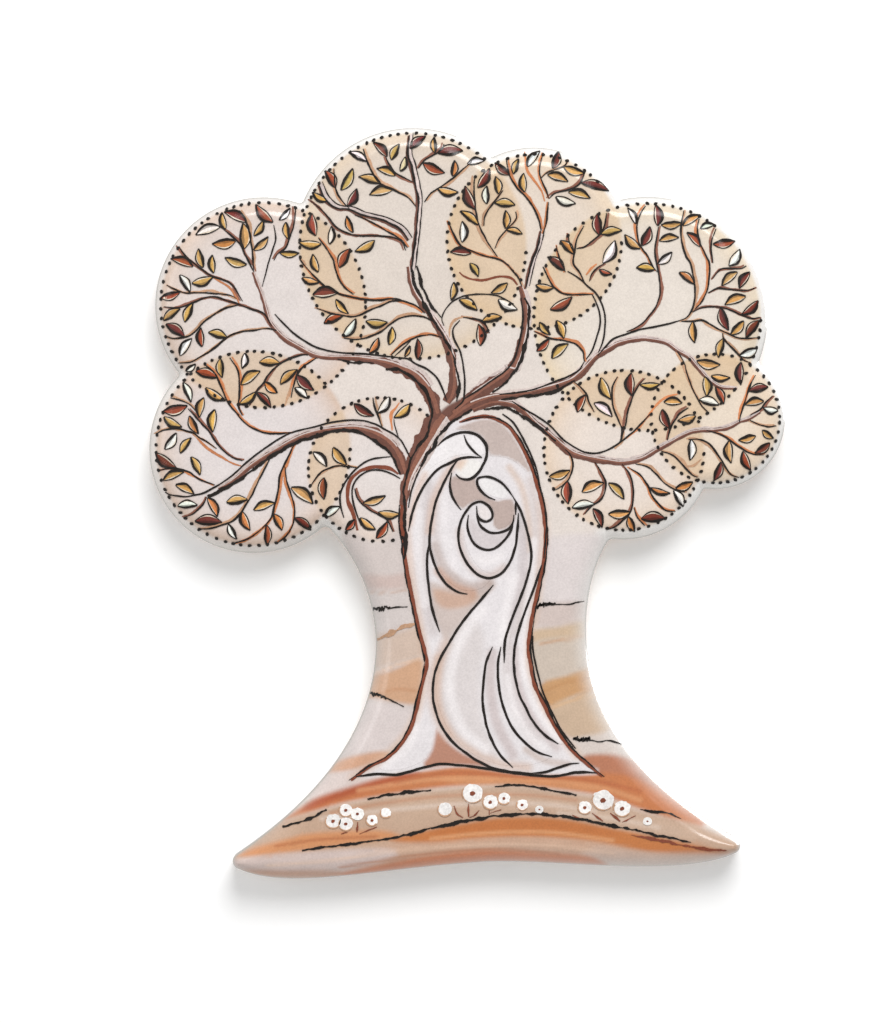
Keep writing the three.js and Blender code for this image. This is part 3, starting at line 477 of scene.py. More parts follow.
# Twigs, each a kind and the points it runs through.
TWIGS = [
    ("twig", """
           -23.5 25.5, -24.4 27.3, -25.1 28.7, -26.2 29.7, -27.2 30.5"""),
    ("twig", """
           -23.5 25.5, -23.7 27.9, -24 29.7, -24.3 30.9, -25.1 32.3"""),
    ("dashed", """
           -22.6 23.9, -22.25 25.2, -21.8 26.9, -21.4 28.1, -21.1 29.2, -21.3 30.7"""),
    ("twig", """
           -21.3 26.8, -20.85 27.55, -20 28.2, -19.5 29.5, -19.1 30.7, -18.9 32.7"""),
    ("twig", """
           -31.8 28.4, -31.1 27.4, -30.1 26.5, -28.3 25.15, -27.05 24.7, -25.8 24, -24.75 22.3"""),
    ("orange", """
           -28.3 25.15, -27.05 24.4, -26.15 23.75, -25.4 22.7, -25.1 22"""),
    ("stem", """
           -6.2 25.5, -5.9 27.9, -5.65 29.85, -5.5 31.8, -5.4 33.2, -5.6 34.6, -5.9 36, -6.2 37.3,
           -6.55 38.4, -6.4 40.6"""),
    ("twig", """
           -5.65 32.7, -6.5 33.7, -7.6 34.3, -8.8 34.9, -9.7 35.35, -10.4 36.4, -10.95 37.5, -11.5 39.1"""),
    ("twig", """
           -5.8 35.35, -7 35.9, -8 36.5, -8.6 37.3, -9 38.2"""),
    ("thick", """
           -6.5 29, -7.25 30.1, -8.3 30.75, -9.55 31.3, -11.6 31.8, -13 32.4, -14.15 32.5, -15.05 32.9,
           -15.8 33.8, -16.4 35.2"""),
    ("twig", """
           -6.6 28.2, -7.5 29.2, -9 30.1, -10.8 31.1, -12.4 31.8"""),
    ("twig", """
           -13 32.5, -14 33.6, -14.5 34.8, -14.7 36.9"""),
    ("twig", """
           -6.8 27.9, -7.2 28.8, -8.3 29.3, -10.2 29.5, -12.1 29.5, -13.4 29.85, -14.5 30.5, -15.2 31.4,
           -16.1 32.4, -17.3 33.4"""),
    ("twig", """
           -4.75 33.24, -3.9 34.3, -2.6 35.1, -1.4 36, -0.3 37, 0.5 37.65"""),
    ("twig", """
           -5.4 36.95, -4.75 37.8, -3.8 38.35, -2.8 39, -2.6 39.6"""),
    ("twig", """
           -2.1 31.1, -1.5 29.6, -0.7 28.4, 0.3 27.9, 1.8 27.3, 3.7 26.8, 5.1 25.6"""),
    ("twig", """
           -16.4 29.3, -15.6 28.2, -14.8 26.9, -14.7 26.5, -14.3 25.1, -13.6 23.9, -12.55 23.05"""),
    ("twig", """
           -18.5 27, -17.9 26.2"""),
    ("stem", """
           6.4 23.7, 6.7 25.1, 7.2 27, 7.7 28.2, 8.1 30.1"""),
    ("twig", """
           8.1 30.1, 7.8 31.4, 7.3 32.5, 6.4 33.8, 5.4 34.8, 4.7 36, 4.4 37.1, 4.3 37.9"""),
    ("twig", """
           8.3 29.7, 8.7 31, 8.8 32.3, 8.9 33.2"""),
    ("orange", """
           8.5 33.3, 8.2 34.3, 7.7 35.1, 7.05 36, 6.5 36.9, 6.3 38.8"""),
    ("twig", """
           8.96 33.6, 8.6 34.6, 8.1 35.7, 7.9 36.9, 8.2 38.2, 8.3 38.7"""),
    ("twig", """
           8.07 35.8, 8.7 36.4, 9.6 36.8, 10.5 37.1, 10.9 37.5, 11 37.9"""),
    ("twig", """
           8.96 33.6, 9.6 34.2, 10.75 34.5, 11.8 34.8, 12.5 35.5, 13.05 36.8"""),
    ("twig", """
           1.8 30.6, 1.9 31.6, 2.4 32.5, 3.3 33.7, 3.9 34.5"""),
    ("twig", """
           3.3 27.2, 2.8 27.9, 2.05 29.1, 1.5 30.1, 1.16 31, 0.9 32.15, 0.84 33.05, 0.7 34.3, 0.8 36.1"""),
    ("twig", """
           3 28.1, 3.5 29.2, 4.2 30.1, 5 30.9, 5.4 31.5, 5.3 32.15"""),
    ("twig", """
           12.9 24.3, 12.3 25.5, 11.65 26.5, 11.8 27.9, 12 29, 12.4 29.85, 12.8 30.6"""),
    ("twig", """
           12 28.1, 12.9 28.3, 13.95 29.1, 14.7 29.85, 15.1 30.75, 15.3 32"""),
    ("twig", """
           10.8 25.5, 10.2 26.8, 9.9 27.8, 9.8 28.4"""),
    ("twig", """
           11.1 29.7, 11.2 28.8, 11.65 27.7"""),
    ("twig", """
           13.4 24.5, 13.7 25.35, 14.3 26, 15 26.4"""),
    ("orange", """
           13.05 25.2, 13.6 25.9, 14.2 26.4"""),
    ("twig", """
           19.6 32.8, 19 31.9, 18.65 30.75, 18.7 29.3, 19.1 28.3, 19.8 27.3, 20.4 26.1, 20.9 25.5"""),
    ("twig", """
           21 30.5, 20.8 29.2, 20.6 27.8, 20.8 26.4, 21 25.5, 21.2 23.8, 21.1 22.7, 20.6 21.5,
           19.9 20.6, 19.2 19.85, 18.3 19.3, 17.5 18.95"""),
    ("twig", """
           23.8 32.3, 23.6 31.3, 23.45 30, 23.6 28.7, 24 27.3, 24.5 26.5, 24.8 25.35, 25 24.2, 25 22.8,
           24.7 21.4, 24.15 20.55, 23.4 20.2"""),
    ("twig", """
           25.5 31.4, 25.3 30.1, 25.7 28.4, 26.3 27.2, 26.6 26.5, 26.6 25.1, 26.4 23.6, 25.8 22.3,
           25 21.4"""),
    ("twig", """
           27.35 30.3, 26.9 29.1, 26.8 27.9, 27 26.5"""),
    ("twig", """
           26.96 24.8, 27.5 25.5, 28.1 25.9, 30 25.9, 30.7 26.2"""),
    ("twig", """
           -33.1 24.1, -32.2 23.6, -30.9 23.2, -29.35 23.25, -27.8 23.15, -26.3 23, -25.4 22.6"""),
    ("twig", """
           -33.4 21.7, -31.8 21.6, -30 22.2, -28.8 22.7, -27.8 22.8, -26.8 22.5, -25.8 22.2, -25 21.9,
           -23.7 21.4, -22.4 20.9, -21.55 19.6"""),
    ("twig", """
           -33.25 18.45, -32.3 18.2, -30.9 18.4, -30 18.95, -29 20, -27.8 20.9, -26.5 21.6, -25.1 21.9"""),
    ("twig", """
           -31.9 15.5, -30.5 15.6, -29.35 16.2, -27.8 17.2, -26.3 18.4, -24.9 18.95, -23.5 19.1,
           -22.1 19.3, -21 19.1"""),
    ("twig", """
           -32.7 11.7, -31.3 11.3, -30.4 10.8, -29.7 10"""),
    ("twig", """
           -26.15 16.1, -25.4 15, -25.1 13.7, -25.1 12.05, -25.2 10.8, -24.75 9.75"""),
    ("twig", """
           -28.8 15.25, -28 14.6, -27.4 13.6, -26.9 12.4, -26.4 11.3, -25.8 10.4, -25.1 9.75"""),
    ("twig", """
           -17.5 16.4, -18.2 16.4, -19.6 15.95, -20.8 15.3, -21.9 14.2, -22.45 13.3, -23.2 12.4,
           -24 10.8"""),
    ("twig", """
           -16.6 16.1, -17.5 15.5, -18.2 15, -18.8 14.1, -19.2 12.7, -19.4 11.7"""),
    ("tan", """
           -19.5 12.9, -19.8 11.7, -20.1 10.8"""),
    ("twig", """
           -4.7 21, -5.7 21.8, -7 22.3, -8.3 22.6, -9.8 22.4, -11.3 22.5, -12.5 22.7, -13.4 22.9,
           -14.4 23.2, -15.4 23.75, -16.2 24.4, -17 25.2, -17.9 26.2"""),
    ("twig", """
           -7 22.3, -8.3 22.3, -9.5 21.8, -10.6 21.4, -11.6 20.9, -12.6 20.6, -13.6 20.75, -14.8 20.9,
           -15.9 21.3, -16.6 21.5"""),
    ("twig", """
           -3.8 20.1, -4.9 20.6, -6.2 20.7, -7.5 20.4, -8.4 19.85, -9.55 18.95, -10.8 18.4, -12.1 18.1,
           -13.6 18.25"""),
    ("twig", """
           -2.8 18.3, -3.9 18.6, -5.2 18.5, -6.2 18.1, -7.1 17.55, -7.9 16.9, -8.4 16.4"""),
    ("line", """
           -6.2 18, -7.2 17, -8 16.3"""),
    ("tan", """
           0.5 20.55, -0.6 20.55, -1.5 20.2, -1.94 19.3, -2 18.3"""),
    ("line", """
           5.1 22, 4.2 22.5, 3.3 22.9, 2.1 23.1, 0.5 23.05, -0.6 22.8, -1.6 22.3, -2.4 21.4, -2.8 20.4,
           -2.6 19.6"""),
    ("twig", """
           -10.4 11.7, -10.25 10.8, -9.8 9.6, -9.4 8.5"""),
    ("orange", """
           -7.5 11.15, -7.9 10.6, -8.4 9.75, -8.3 8.1"""),
    ("line", """
           -8.1 9.35, -8 8.6, -7.6 7.4"""),
    ("rust", """
           5.5 24.1, 4.9 24.8, 4 25, 2.95 24.9, 1.8 24.6, 0.8 24.65, -0.3 25, -0.9 25.5"""),
    ("twig", """
           6 23.9, 5.5 25, 4.9 25.7, 4.4 26.4"""),
    ("twig", """
           -0.5 20.55, 0.5 20.4, 1.4 20.2, 2.06 19.6, 2.4 18.8"""),
    ("twig", """
           13.7 23.05, 12.8 23.05, 11.4 23, 10.4 23.2, 9.6 23.75, 9.1 24.45, 8.6 25.5, 8.3 26.1"""),
    ("twig", """
           12.9 15.6, 12.8 16, 12.7 16.8, 12 17.5, 11.3 17.8, 10.2 18.06, 9 18.2, 8.2 18.6, 7.3 19"""),
    ("twig", """
           11.65 13.5, 12.5 12.8, 13.1 12.05, 13.4 11.15, 13.95 10.1"""),
    ("twig", """
           16.5 14, 16 13.1, 15.9 12.4, 16 10.8, 16.6 9.2, 17 8.1, 16.8 6.9, 15.9 6.1"""),
    ("twig", """
           26.45 23.2, 27.5 23.7, 28.6 23.6, 30 23.5, 30.8 23.5, 31.6 23.75"""),
    ("twig", """
           24.7 21.1, 25.8 21.6, 27.1 21.7, 28.4 21.5, 29.4 21.1, 30.3 20.7, 31.3 20.4, 32.2 20.55"""),
    ("twig", """
           23.5 20.1, 24.7 20.1, 25.8 20.2, 26.8 19.7, 27.7 19.15, 28.75 18.7, 29.65 18.3, 30.7 18.2,
           32.1 18.3"""),
    ("twig", """
           28.05 18.8, 28.2 18.2, 29 17.3, 29.8 16.4, 30.4 15.8, 31.05 15.6"""),
    ("twig", """
           23.1 16.8, 23.8 15.6, 24.15 14.35, 24.7 12.8, 25.2 11.8, 25.8 10.8, 26.45 10.1"""),
    ("twig", """
           31.7 14.2, 31.2 13.3, 30.8 12.2, 30.4 10.9, 30 9.75, 29.9 9"""),
    ("twig", """
           19.55 13.85, 18.9 13.1, 18.3 12.05, 17.9 11, 17.6 10, 17.4 8.8, 17 7.4"""),
    ("orange", """
           23.1 12.05, 22 11.8, 20.8 10.9, 20.06 9.9, 19.2 8.8, 18.3 7.9, 17.5 7.2"""),
    ("twig", """
           24.3 10.6, 23.4 10, 23 9.5, 22.5 8.7, 22.2 7.9, 22 7"""),
    ("twig", """
           33.6 11.9, 32.8 11.2, 32.2 10.4, 31.05 9.75"""),
    ("twig", """
           -30.75 10.5, -30 9.7, -29.1 8.7, -28.3 7.8, -27.7 6.8, -26.8 5.8, -25.8 5.1, -24.75 4.75"""),
    ("orange", """
           -30.2 7.7, -29.2 6.7, -28.1 5.8, -27 5.1, -25.9 4.5, -24.9 4.2"""),
    ("twig", """
           -34.3 7.75, -33.2 8.2, -32 8.3, -30.9 8, -30.1 7.75, -29.5 7.3, -28.6 6.8, -27.6 6.1"""),
    ("twig", """
           -33.95 3.7, -32.8 3.9, -31.8 3.9, -30.6 3.5, -29.9 2.95, -29 2.5, -27.8 2.1"""),
    ("twig", """
           -19.4 7.9, -20.65 7.75, -22.2 7.8, -23.3 8.2, -24.2 8.7, -24.9 9.35, -25.4 10, -25.8 10.5"""),
    ("twig", """
           -28.7 0.8, -29 0.1, -29.6 -0.6, -30.4 -1.2, -31.3 -1.5"""),
    ("twig", """
           -21.7 5, -22.4 3.7, -23.1 2.3, -23.7 1, -24.4 -0.1, -25 -1.1, -25.9 -1.9, -27.05 -2.35,
           -28.3 -2.7, -29.6 -2.8"""),
    ("twig", """
           -18.35 7.2, -19.1 6.4, -19.5 5.6, -20.1 4.4, -20.65 3.1, -20.8 1.55, -21.2 -0.1, -21.5 -1.3,
           -22.2 -2.3, -23.2 -3.2, -24.5 -3.95, -25.9 -4.4"""),
    ("twig", """
           -20.1 4.1, -19.9 2.6, -19.5 1.3, -19.1 0, -19.05 -1.5, -19.4 -2.7, -20 -3.6, -20.9 -4.3"""),
    ("twig", """
           -12.4 1.7, -12.2 0.8, -11.6 0, -10.6 -0.75, -9.55 -1.3, -8.8 -1.8, -8.2 -3.05"""),
    ("twig", """
           -12.2 4, -13.1 4.1, -14 4.2, -15.05 4, -15.9 3.6, -16.6 2.95, -17.2 2.06"""),
    ("twig", """
           10.75 6, 11.3 5.4, 11.6 4.5, 11.5 3.6, 11.1 2.7, 10.5 2.06, 9.7 1.55"""),
    ("twig", """
           14 4.6, 14.7 3.5, 15.2 2.4, 15.1 1.3, 14.6 0.4, 13.7 -0.2, 12.9 -1.1"""),
    ("twig", """
           17 4.4, 17.8 3.3, 18.2 1.9, 18.2 0.3, 17.9 -0.9, 17.1 -1.8, 16.25 -2.5, 15.5 -2.8"""),
    ("twig", """
           26.3 8.1, 27.5 7.75, 28.5 7.3, 29.4 6.6, 30.3 6, 31.3 5.5, 32.6 5.4"""),
    ("twig", """
           24.3 7.1, 25.4 7.1, 26.45 6.7, 27.1 6, 27.9 4.9, 28.4 4, 29 3.2, 29.9 2.9"""),
    ("twig", """
           21.3 5.8, 22.4 5.45, 23.1 4.9, 23.9 4, 24.7 3.2, 25.3 2.95"""),
    ("tan", """
           23.9 4.2, 24.8 4.2, 25.7 4.9"""),
    ("twig", """
           18.5 4.4, 19.8 4.1, 20.7 3.3, 21.7 2.3, 22.9 1.55, 23.9 1.3"""),
    ("twig", """
           17.75 4, 19 3.2, 19.8 2.06, 20.3 0.9, 21.1 -0.1, 21.85 -0.7, 22.9 -0.8"""),
    ("twig", """
           18.3 -0.4, 18.65 -1.4, 19.5 -2.4"""),
    ("twig", """
           31.05 9.2, 31.95 8.8, 33 8.5, 34 8.6"""),
]

# Boughs by piece: rust bands carry widths, the dark strokes lie along them.
BOUGHS = {
    "trunk_left": [
        ("rust", """
            -7.05 -1.4 0.5, -6.95 0.8 0.8, -6.6 3 1.1, -5.3 5.9 1.6, -4.1 8.1 1.9, -2.9 10 1.8"""),
        ("thick", """
            -7.1 1.3, -6.2 4.9, -5.6 6, -4.7 7.3, -4.05 9, -3.9 10.5"""),
        ("thick", """
            -5.1 4.1, -4.6 5.1, -3.8 6.3, -3 7.6, -2 8.8, -0.6 9.7, 0.5 10.4"""),
        ("rustline", """
            -7.25 -0.1, -7.25 -2.3, -7 -4.2, -6.8 -6.5, -6.3 -9.2, -5.8 -11.6, -5.3 -14.1, -4.7 -16.1,
            -4.5 -17.5, -4.8 -19.2, -5.2 -20.8, -5.9 -23.8, -6.7 -25.5, -7.8 -27, -9.2 -28.1,
            -10.8 -28.9, -12.8 -30.4"""),
        ("thick", """
            -7.1 1.3, -6.9 0.5, -6.9 -1.65, -6.8 -4, -6.9 -6.1"""),
        ("thin", """
            -4.9 4.5, -5.7 2.8, -6.2 1.3, -6.5 -0.4"""),
    ],
    "trunk_arch": [
        ("rustline", """
            -0.9 9, 0.8 9.5, 2.1 9.6, 3.3 9.3, 4.6 8.45, 5.5 7.2, 6.3 5.8, 6.9 4.4, 7.4 2.95, 7.8 1.55,
            8.2 0, 8.45 -1.65, 8.6 -3.3, 8.35 -6.3, 7.84 -9, 7.33 -11.4, 6.9 -13.85, 6.7 -16.1,
            7.03 -18.1, 7.5 -20.2, 8.4 -22, 9.3 -23.9, 10.5 -25.8, 11.7 -27.3, 13.4 -28.8, 14.8 -30"""),
        ("thin", """
            3.85 9.9, 5 9, 6 7.4, 6.9 5.6, 7.6 3.7, 8 1.8, 8.45 0, 8.7 -1.9, 8.6 -3.95, 8.4 -6"""),
        ("thin", """
            7.2 -14.5, 7.2 -16.1, 7.7 -18.5, 8.35 -20.8, 9.3 -22.9, 10.4 -25, 11.9 -26.9"""),
    ],
    "bough_lower_left": [
        ("rust", """
            -7 3.3 1, -7.5 4.9 1.1, -8.3 6.3 1.1, -9.5 7.3 1.1, -11.1 8 0.9, -12.7 8.3 0.7,
            -14.9 8.2 0.5, -16.6 7.9 0.5, -18.5 7.3 0.5, -20.9 6 0.45, -23.5 4.4 0.4, -26 2.4 0.35,
            -27.4 1.7 0.2"""),
        ("thin", """
            -6.2 4.9, -6.9 6.3, -7.6 7.3, -8.9 8.1, -10.2 8.8, -11.5 9.15, -13.4 9.2, -15.3 8.9,
            -17 8.45, -19.2 7.9, -20.65 7.2, -21.9 6.4, -23.2 5.45, -24.5 4.4, -25.8 3.2, -27.05 2.3,
            -28.1 1.7, -29.1 1.2, -30 1, -31.1 0.8, -32.7 1, -33.3 1.3"""),
        ("thick", """
            -7.4 3.3, -8.1 4.9, -9 6, -10.3 7, -11.6 7.75, -13.4 8.1, -15.3 8, -16.45 7.4, -18 7.1,
            -18.9 6.7, -20 6.1, -21.2 5.5, -22.4 4.6, -23.7 3.7, -24.9 2.8, -26.15 2, -27.3 1.4,
            -28.6 0.85"""),
    ],
    "bough_upper_left": [
        ("rust", """
            -3.5 9.9 1.2, -3.9 11.5 1.2, -4.7 12.8 1.2, -5.7 14 1.1, -7 14.7 1, -8.3 15.25 0.9,
            -9.5 15.6 0.7, -11.5 15.95 0.5, -13.4 16.1 0.4, -15.3 16.1 0.4, -17 16.4 0.4,
            -18.9 17.4 0.4, -20 18.06 0.4, -21 19 0.35, -21.8 20.1 0.3, -22.2 21.4 0.3, -22.6 22.8 0.25,
            -23.6 25.5 0.25"""),
        ("thin", """
            -2.3 11.4, -2.8 12.8, -3.4 13.9, -4.4 14.8, -5.7 15.4, -6.5 15.95, -7.6 16.1, -9.5 16.3,
            -11.3 16.5, -13.4 16.6, -15.3 16.85, -17 17.4, -18.9 18.6, -20.1 19.7, -21.2 20.9"""),
        ("thick", """
            -3.9 9.75, -4.05 10.9, -4.4 12.05, -5.2 13.2, -6.35 14.1, -7.6 14.8, -9 14.9"""),
        ("thick", """
            -10.3 15.5, -11.6 15.6, -12.9 15.6, -14.3 15.9"""),
    ],
    "bough_top_left": [
        ("rust", """
            -2.3 11.2 1, -1.65 12.5 0.8, -1.6 15 0.8, -2 16.8 0.8, -2.6 18.3 0.7, -3.4 19.6 0.6,
            -4.2 20.9 0.5, -5 21.9 0.5, -5.9 23.3 0.4, -6.35 24.6 0.4, -6.55 26.1 0.4"""),
        ("thick", """
            -1.2 11.3, -0.9 13.1, -1.1 14.35, -1.6 16.3, -2.3 17.8, -3.15 19.3, -4.05 20.6, -4.9 22.3,
            -5.84 24.2, -6.2 26.2"""),
        ("thick", """
            -2.9 20.55, -3.8 21.6, -4.56 22.9, -5.2 24.6, -5.6 26.2"""),
        ("thin", """
            -0.85 20.2, -1.56 19.3, -1.5 18.2, -0.85 16.9, -0.5 15.5, -0.3 13.7, -0.34 12.3, -0.5 11.3,
            -1.4 10.45"""),
    ],
    "bough_top_right": [
        ("rust", """
            -1.5 9.9 1, 0 11.2 1.1, 1.6 12.4 1.1, 3.2 13.5 1, 4.6 14.6 0.9, 5.4 16 0.8, 5.9 17.6 0.7,
            6.3 19.5 0.6, 6.4 21.2 0.6, 6.2 22.7 0.6, 5.8 24 0.5"""),
        ("thin", """
            -0.5 11.5, 1 12.4, 2.7 13.6, 4 14.5, 4.9 15.5, 5.5 17, 5.9 18.8, 6.1 20.7, 5.9 22.7"""),
        ("thick", """
            2.7 12.3, 3.7 12.9, 4.6 13.7, 5.1 14.5, 5.8 15.6, 6.1 16.5, 6.5 18.3, 6.8 20.4, 6.7 21.8,
            6.3 22.7"""),
    ],
    "bough_right": [
        ("rust", """
            -2 9.2 0.9, 0.3 10.8 0.8, 2.7 11.7 0.6, 4.6 11.9 0.6, 6.5 12.1 0.6, 8.45 12.6 0.6,
            9.7 12.95 0.6, 11.3 13.5 0.6,
            12.3 14.2 0.6, 13.3 15.25 0.5, 14.3 16.3 0.5, 15.5 17 0.45, 16.8 17.7 0.4, 18.8 18.1 0.35,
            20.3 18.06 0.3, 21.85 17.7 0.3, 23 16.9 0.3, 24.3 16.1 0.3, 25.2 15.1 0.3, 26.07 14.1 0.25,
            27 13.3 0.25, 28 12.8 0.2, 29.65 12.7 0.2"""),
        ("thin", """
            3.5 12.05, 5 12.2, 6.5 12.4, 8.2 12.9, 9.7 13.5, 11 14, 12.2 14.7, 12.8 15.6"""),
        ("thick", """
            3.7 11.5, 5.9 11.8, 8.45 12.05, 10.1 12.6, 11.8 13.6"""),
        ("thin", """
            14.3 16.3, 15.2 17.3, 16.1 18.2, 17.5 18.7, 19 19.2, 20.7 19.5, 22.2 19.85, 23.4 20.2"""),
        ("thin", """
            13.05 15.9, 13.7 16.9, 14.2 18.3, 14.6 19.85, 14.5 21.1, 14.1 22.3, 13.7 23.05"""),
        ("thin", """
            14.4 16.65, 14.85 17.8, 15.1 19.3, 15.1 20.9, 14.7 22.15, 14.1 23.2, 13.3 23.9, 12.3 24.8,
            11 25.6"""),
    ],
    "bough_lower_right": [
        ("rust", """
            0.6 10.3 0.5, 2.8 11.1 0.5, 4.6 11 0.5, 5.9 10.4 0.5, 7.4 8.9 0.5, 8.7 7.9 0.5,
            9.7 7 0.6, 10.75 6.1 0.6, 11.65 5.5 0.6,
            12.9 5.1 0.6, 14.2 4.85 0.6, 15.9 4.6 0.5, 17.1 4.5 0.5, 18.5 4.75 0.45, 19.5 5.1 0.4,
            20.8 5.9 0.35, 22.4 6.8 0.3, 23.5 7.4 0.3, 24.7 7.9 0.3, 25.9 8.07 0.3, 27.2 8.1 0.3,
            28.75 8.4 0.3, 29.9 9 0.25, 31.05 9.4 0.25, 32.2 10.1 0.2"""),
        ("thin", """
            4.9 11.3, 6.15 10.5, 7.7 9.6, 9.1 8.6, 10.4 7.2, 11.65 6.3, 12.9 5.7, 14.2 5.6, 15.5 6,
            16.8 6.8, 17.8 7.6, 18.5 8.2, 20.2 10"""),
        ("thick", """
            1.8 10.4, 4 10.6, 5.1 10.1, 6.15 9.6, 7.4 8.7, 8.7 7.75, 9.7 6.9"""),
    ],
    "curl_left": [
        ("thin", """
            -8.5 5.2, -9.55 5.1, -10.6 4.9, -11.6 4.4, -12.6 3.5, -13.5 2.3, -14 1, -13.96 -0.2,
            -13.6 -1.5"""),
        ("rustline", """
            -7.6 3.3, -8.5 3.9, -9.8 4.1, -10.8 4, -12 3.5, -12.9 2.6, -13.2 1.4, -13.1 0.3,
            -12.7 -0.75, -12.4 -1.65, -12.1 -2.9"""),
        ("thin", """
            -7.4 2.8, -8.3 3.3, -9.5 3.7, -10.8 3.65, -11.85 3.1, -12.5 2.2, -12.7 1.2, -12.5 -0.1,
            -12.1 -1.3, -11.7 -2.4"""),
    ],
}

# Contours of the family, with their widths.
CONTOURS = [
    (0.34, """
        -3.3 6.4, -2.24 7.33, -0.8 7.84, 0.4 7.84, 1.43 7.33, 2.04 6.5, 2.14 5.5, 1.94 4.8, 1.5 3.9,
        0.8 3.06, 0 2.7, -0.8 2.85, -1.3 3.3"""),
    (0.3, """
        -0.4 7.6, 0 6.6, 0.8 5.7, 1.6 5.1"""),
    (0.3, """
        1.6 5.1, 0.4 5.15, -0.6 5.05, -1.8 4.6, -3.26 3.8, -4.5 2.4, -5.5 0.6, -6.1 -1, -6.5 -3"""),
    (0.3, """
        -1 4.9, -1.7 4, -2.65 2.2, -3.5 0.2, -3.97 -2, -4.2 -4.1, -3.97 -5.5, -3.5 -6.9, -2.85 -8.15,
        -2.04 -9.07, -1 -9.7, 0 -9.9"""),
    (0.3, """
        -4.2 -4.1, -4.44 -5.9, -4.4 -7.7, -4.2 -9.6, -3.9 -11.4, -3.5 -12.8, -3.06 -14.06"""),
    (0.3, """
        -1.73 3.46, -1.94 2.24, -1.73 1, -1.2 0, -0.7 -0.65"""),
    (0.3, """
        3.06 0.45, 2.24 0.8, 1.43 1.5, 1.06 2.24, 1.2 2.85, 2.04 3, 3.06 2.75, 4.07 2.04, 5 0.8"""),
    (0.3, """
        5 0.8, 5.7 -0.4, 6.3 -2, 6.8 -3.9, 7.03 -5.7, 6.8 -7.3, 6.3 -9, 5.7 -10.6, 4.9 -12.6, 4.3 -14.3,
        4.07 -15.5, 4.03 -17.5"""),
    (0.3, """
        5.3 0.4, 5.3 -1.2"""),
    (0.3, """
        5.6 -1, 5.5 -2.85, 5.3 -4.5, 4.8 -6.1, 4.07 -7.3, 3.26 -7.9, 2.24 -8.15, 1.2 -7.8, 0.4 -7.1,
        -0.4 -5.9, -0.9 -4.5, -0.98 -3.05, -0.6 -1.6, 0 -0.6, 0.6 0, 1.4 0.26, 2.24 -0.16, 2.7 -0.9,
        2.65 -1.6, 2.04 -1.94, 1.4 -1.7, 1.1 -1.2, 1 -0.2"""),
    (0.3, """
        1 -0.6, 1.1 -1.6, 1.5 -2.5, 2.4 -3.1, 3.5 -3.16, 4.5 -2.75, 5 -2.04, 5.1 -1.2"""),
    (0.3, """
        0.1 -1.2, 0 -2.4, 0.3 -3.67, 1 -4.6, 2.04 -5.05, 3.06 -4.85, 4.07 -3.97, 4.8 -2.85, 5.1 -1.6"""),
    (0.3, """
        8.15 -6.7, 7.4 -9, 6.5 -11.4, 5.7 -13.65, 5.2 -15.7, 5.1 -17.7, 5.3 -19.35, 5.7 -21, 6.2 -22,
        7.2 -23.9, 8.5 -25.4, 10 -26.4"""),
    (0.3, """
        2.85 -8.9, 1.6 -10.4, 0.2 -12, -1 -13.65, -2.04 -15.3, -2.95 -16.9, -3.56 -18.5, -3.8 -20,
        -3.8 -21, -3.7 -22, -3.2 -23.7, -2.4 -25.2, -1.2 -26.6, 0 -27.5, 1.2 -28.3, 3 -29.1, 5 -29.5,
        7 -29.6"""),
    (0.3, """
        2.75 -15.7, 2.1 -17.3, 1.83 -18.9, 1.67 -20.8, 1.7 -22, 2 -24, 2.6 -25.8, 3.6 -27.6, 5 -29"""),
    (0.3, """
        3.67 -15.7, 3.36 -17.5, 3.36 -19.15, 3.57 -20.8, 3.9 -22.2, 4.7 -24.2, 5.7 -25.6, 7 -26.8,
        8 -27.4, 9.3 -27.8"""),
    (0.3, """
        -12.3 -30, -10 -29.7, -8 -29.8, -6.3 -29.4, -4.5 -28.9, -3 -28.6, -1.5 -28.7, 0 -28.8, 2 -29.1,
        4.5 -29.5, 7 -29.8, 9.5 -29.95, 11.5 -29.6, 13 -29.5, 14.3 -29.6"""),
    (0.3, """
        7 -29.6, 8.5 -29.5, 10 -29, 11.2 -28.6, 12.3 -28.5"""),
]


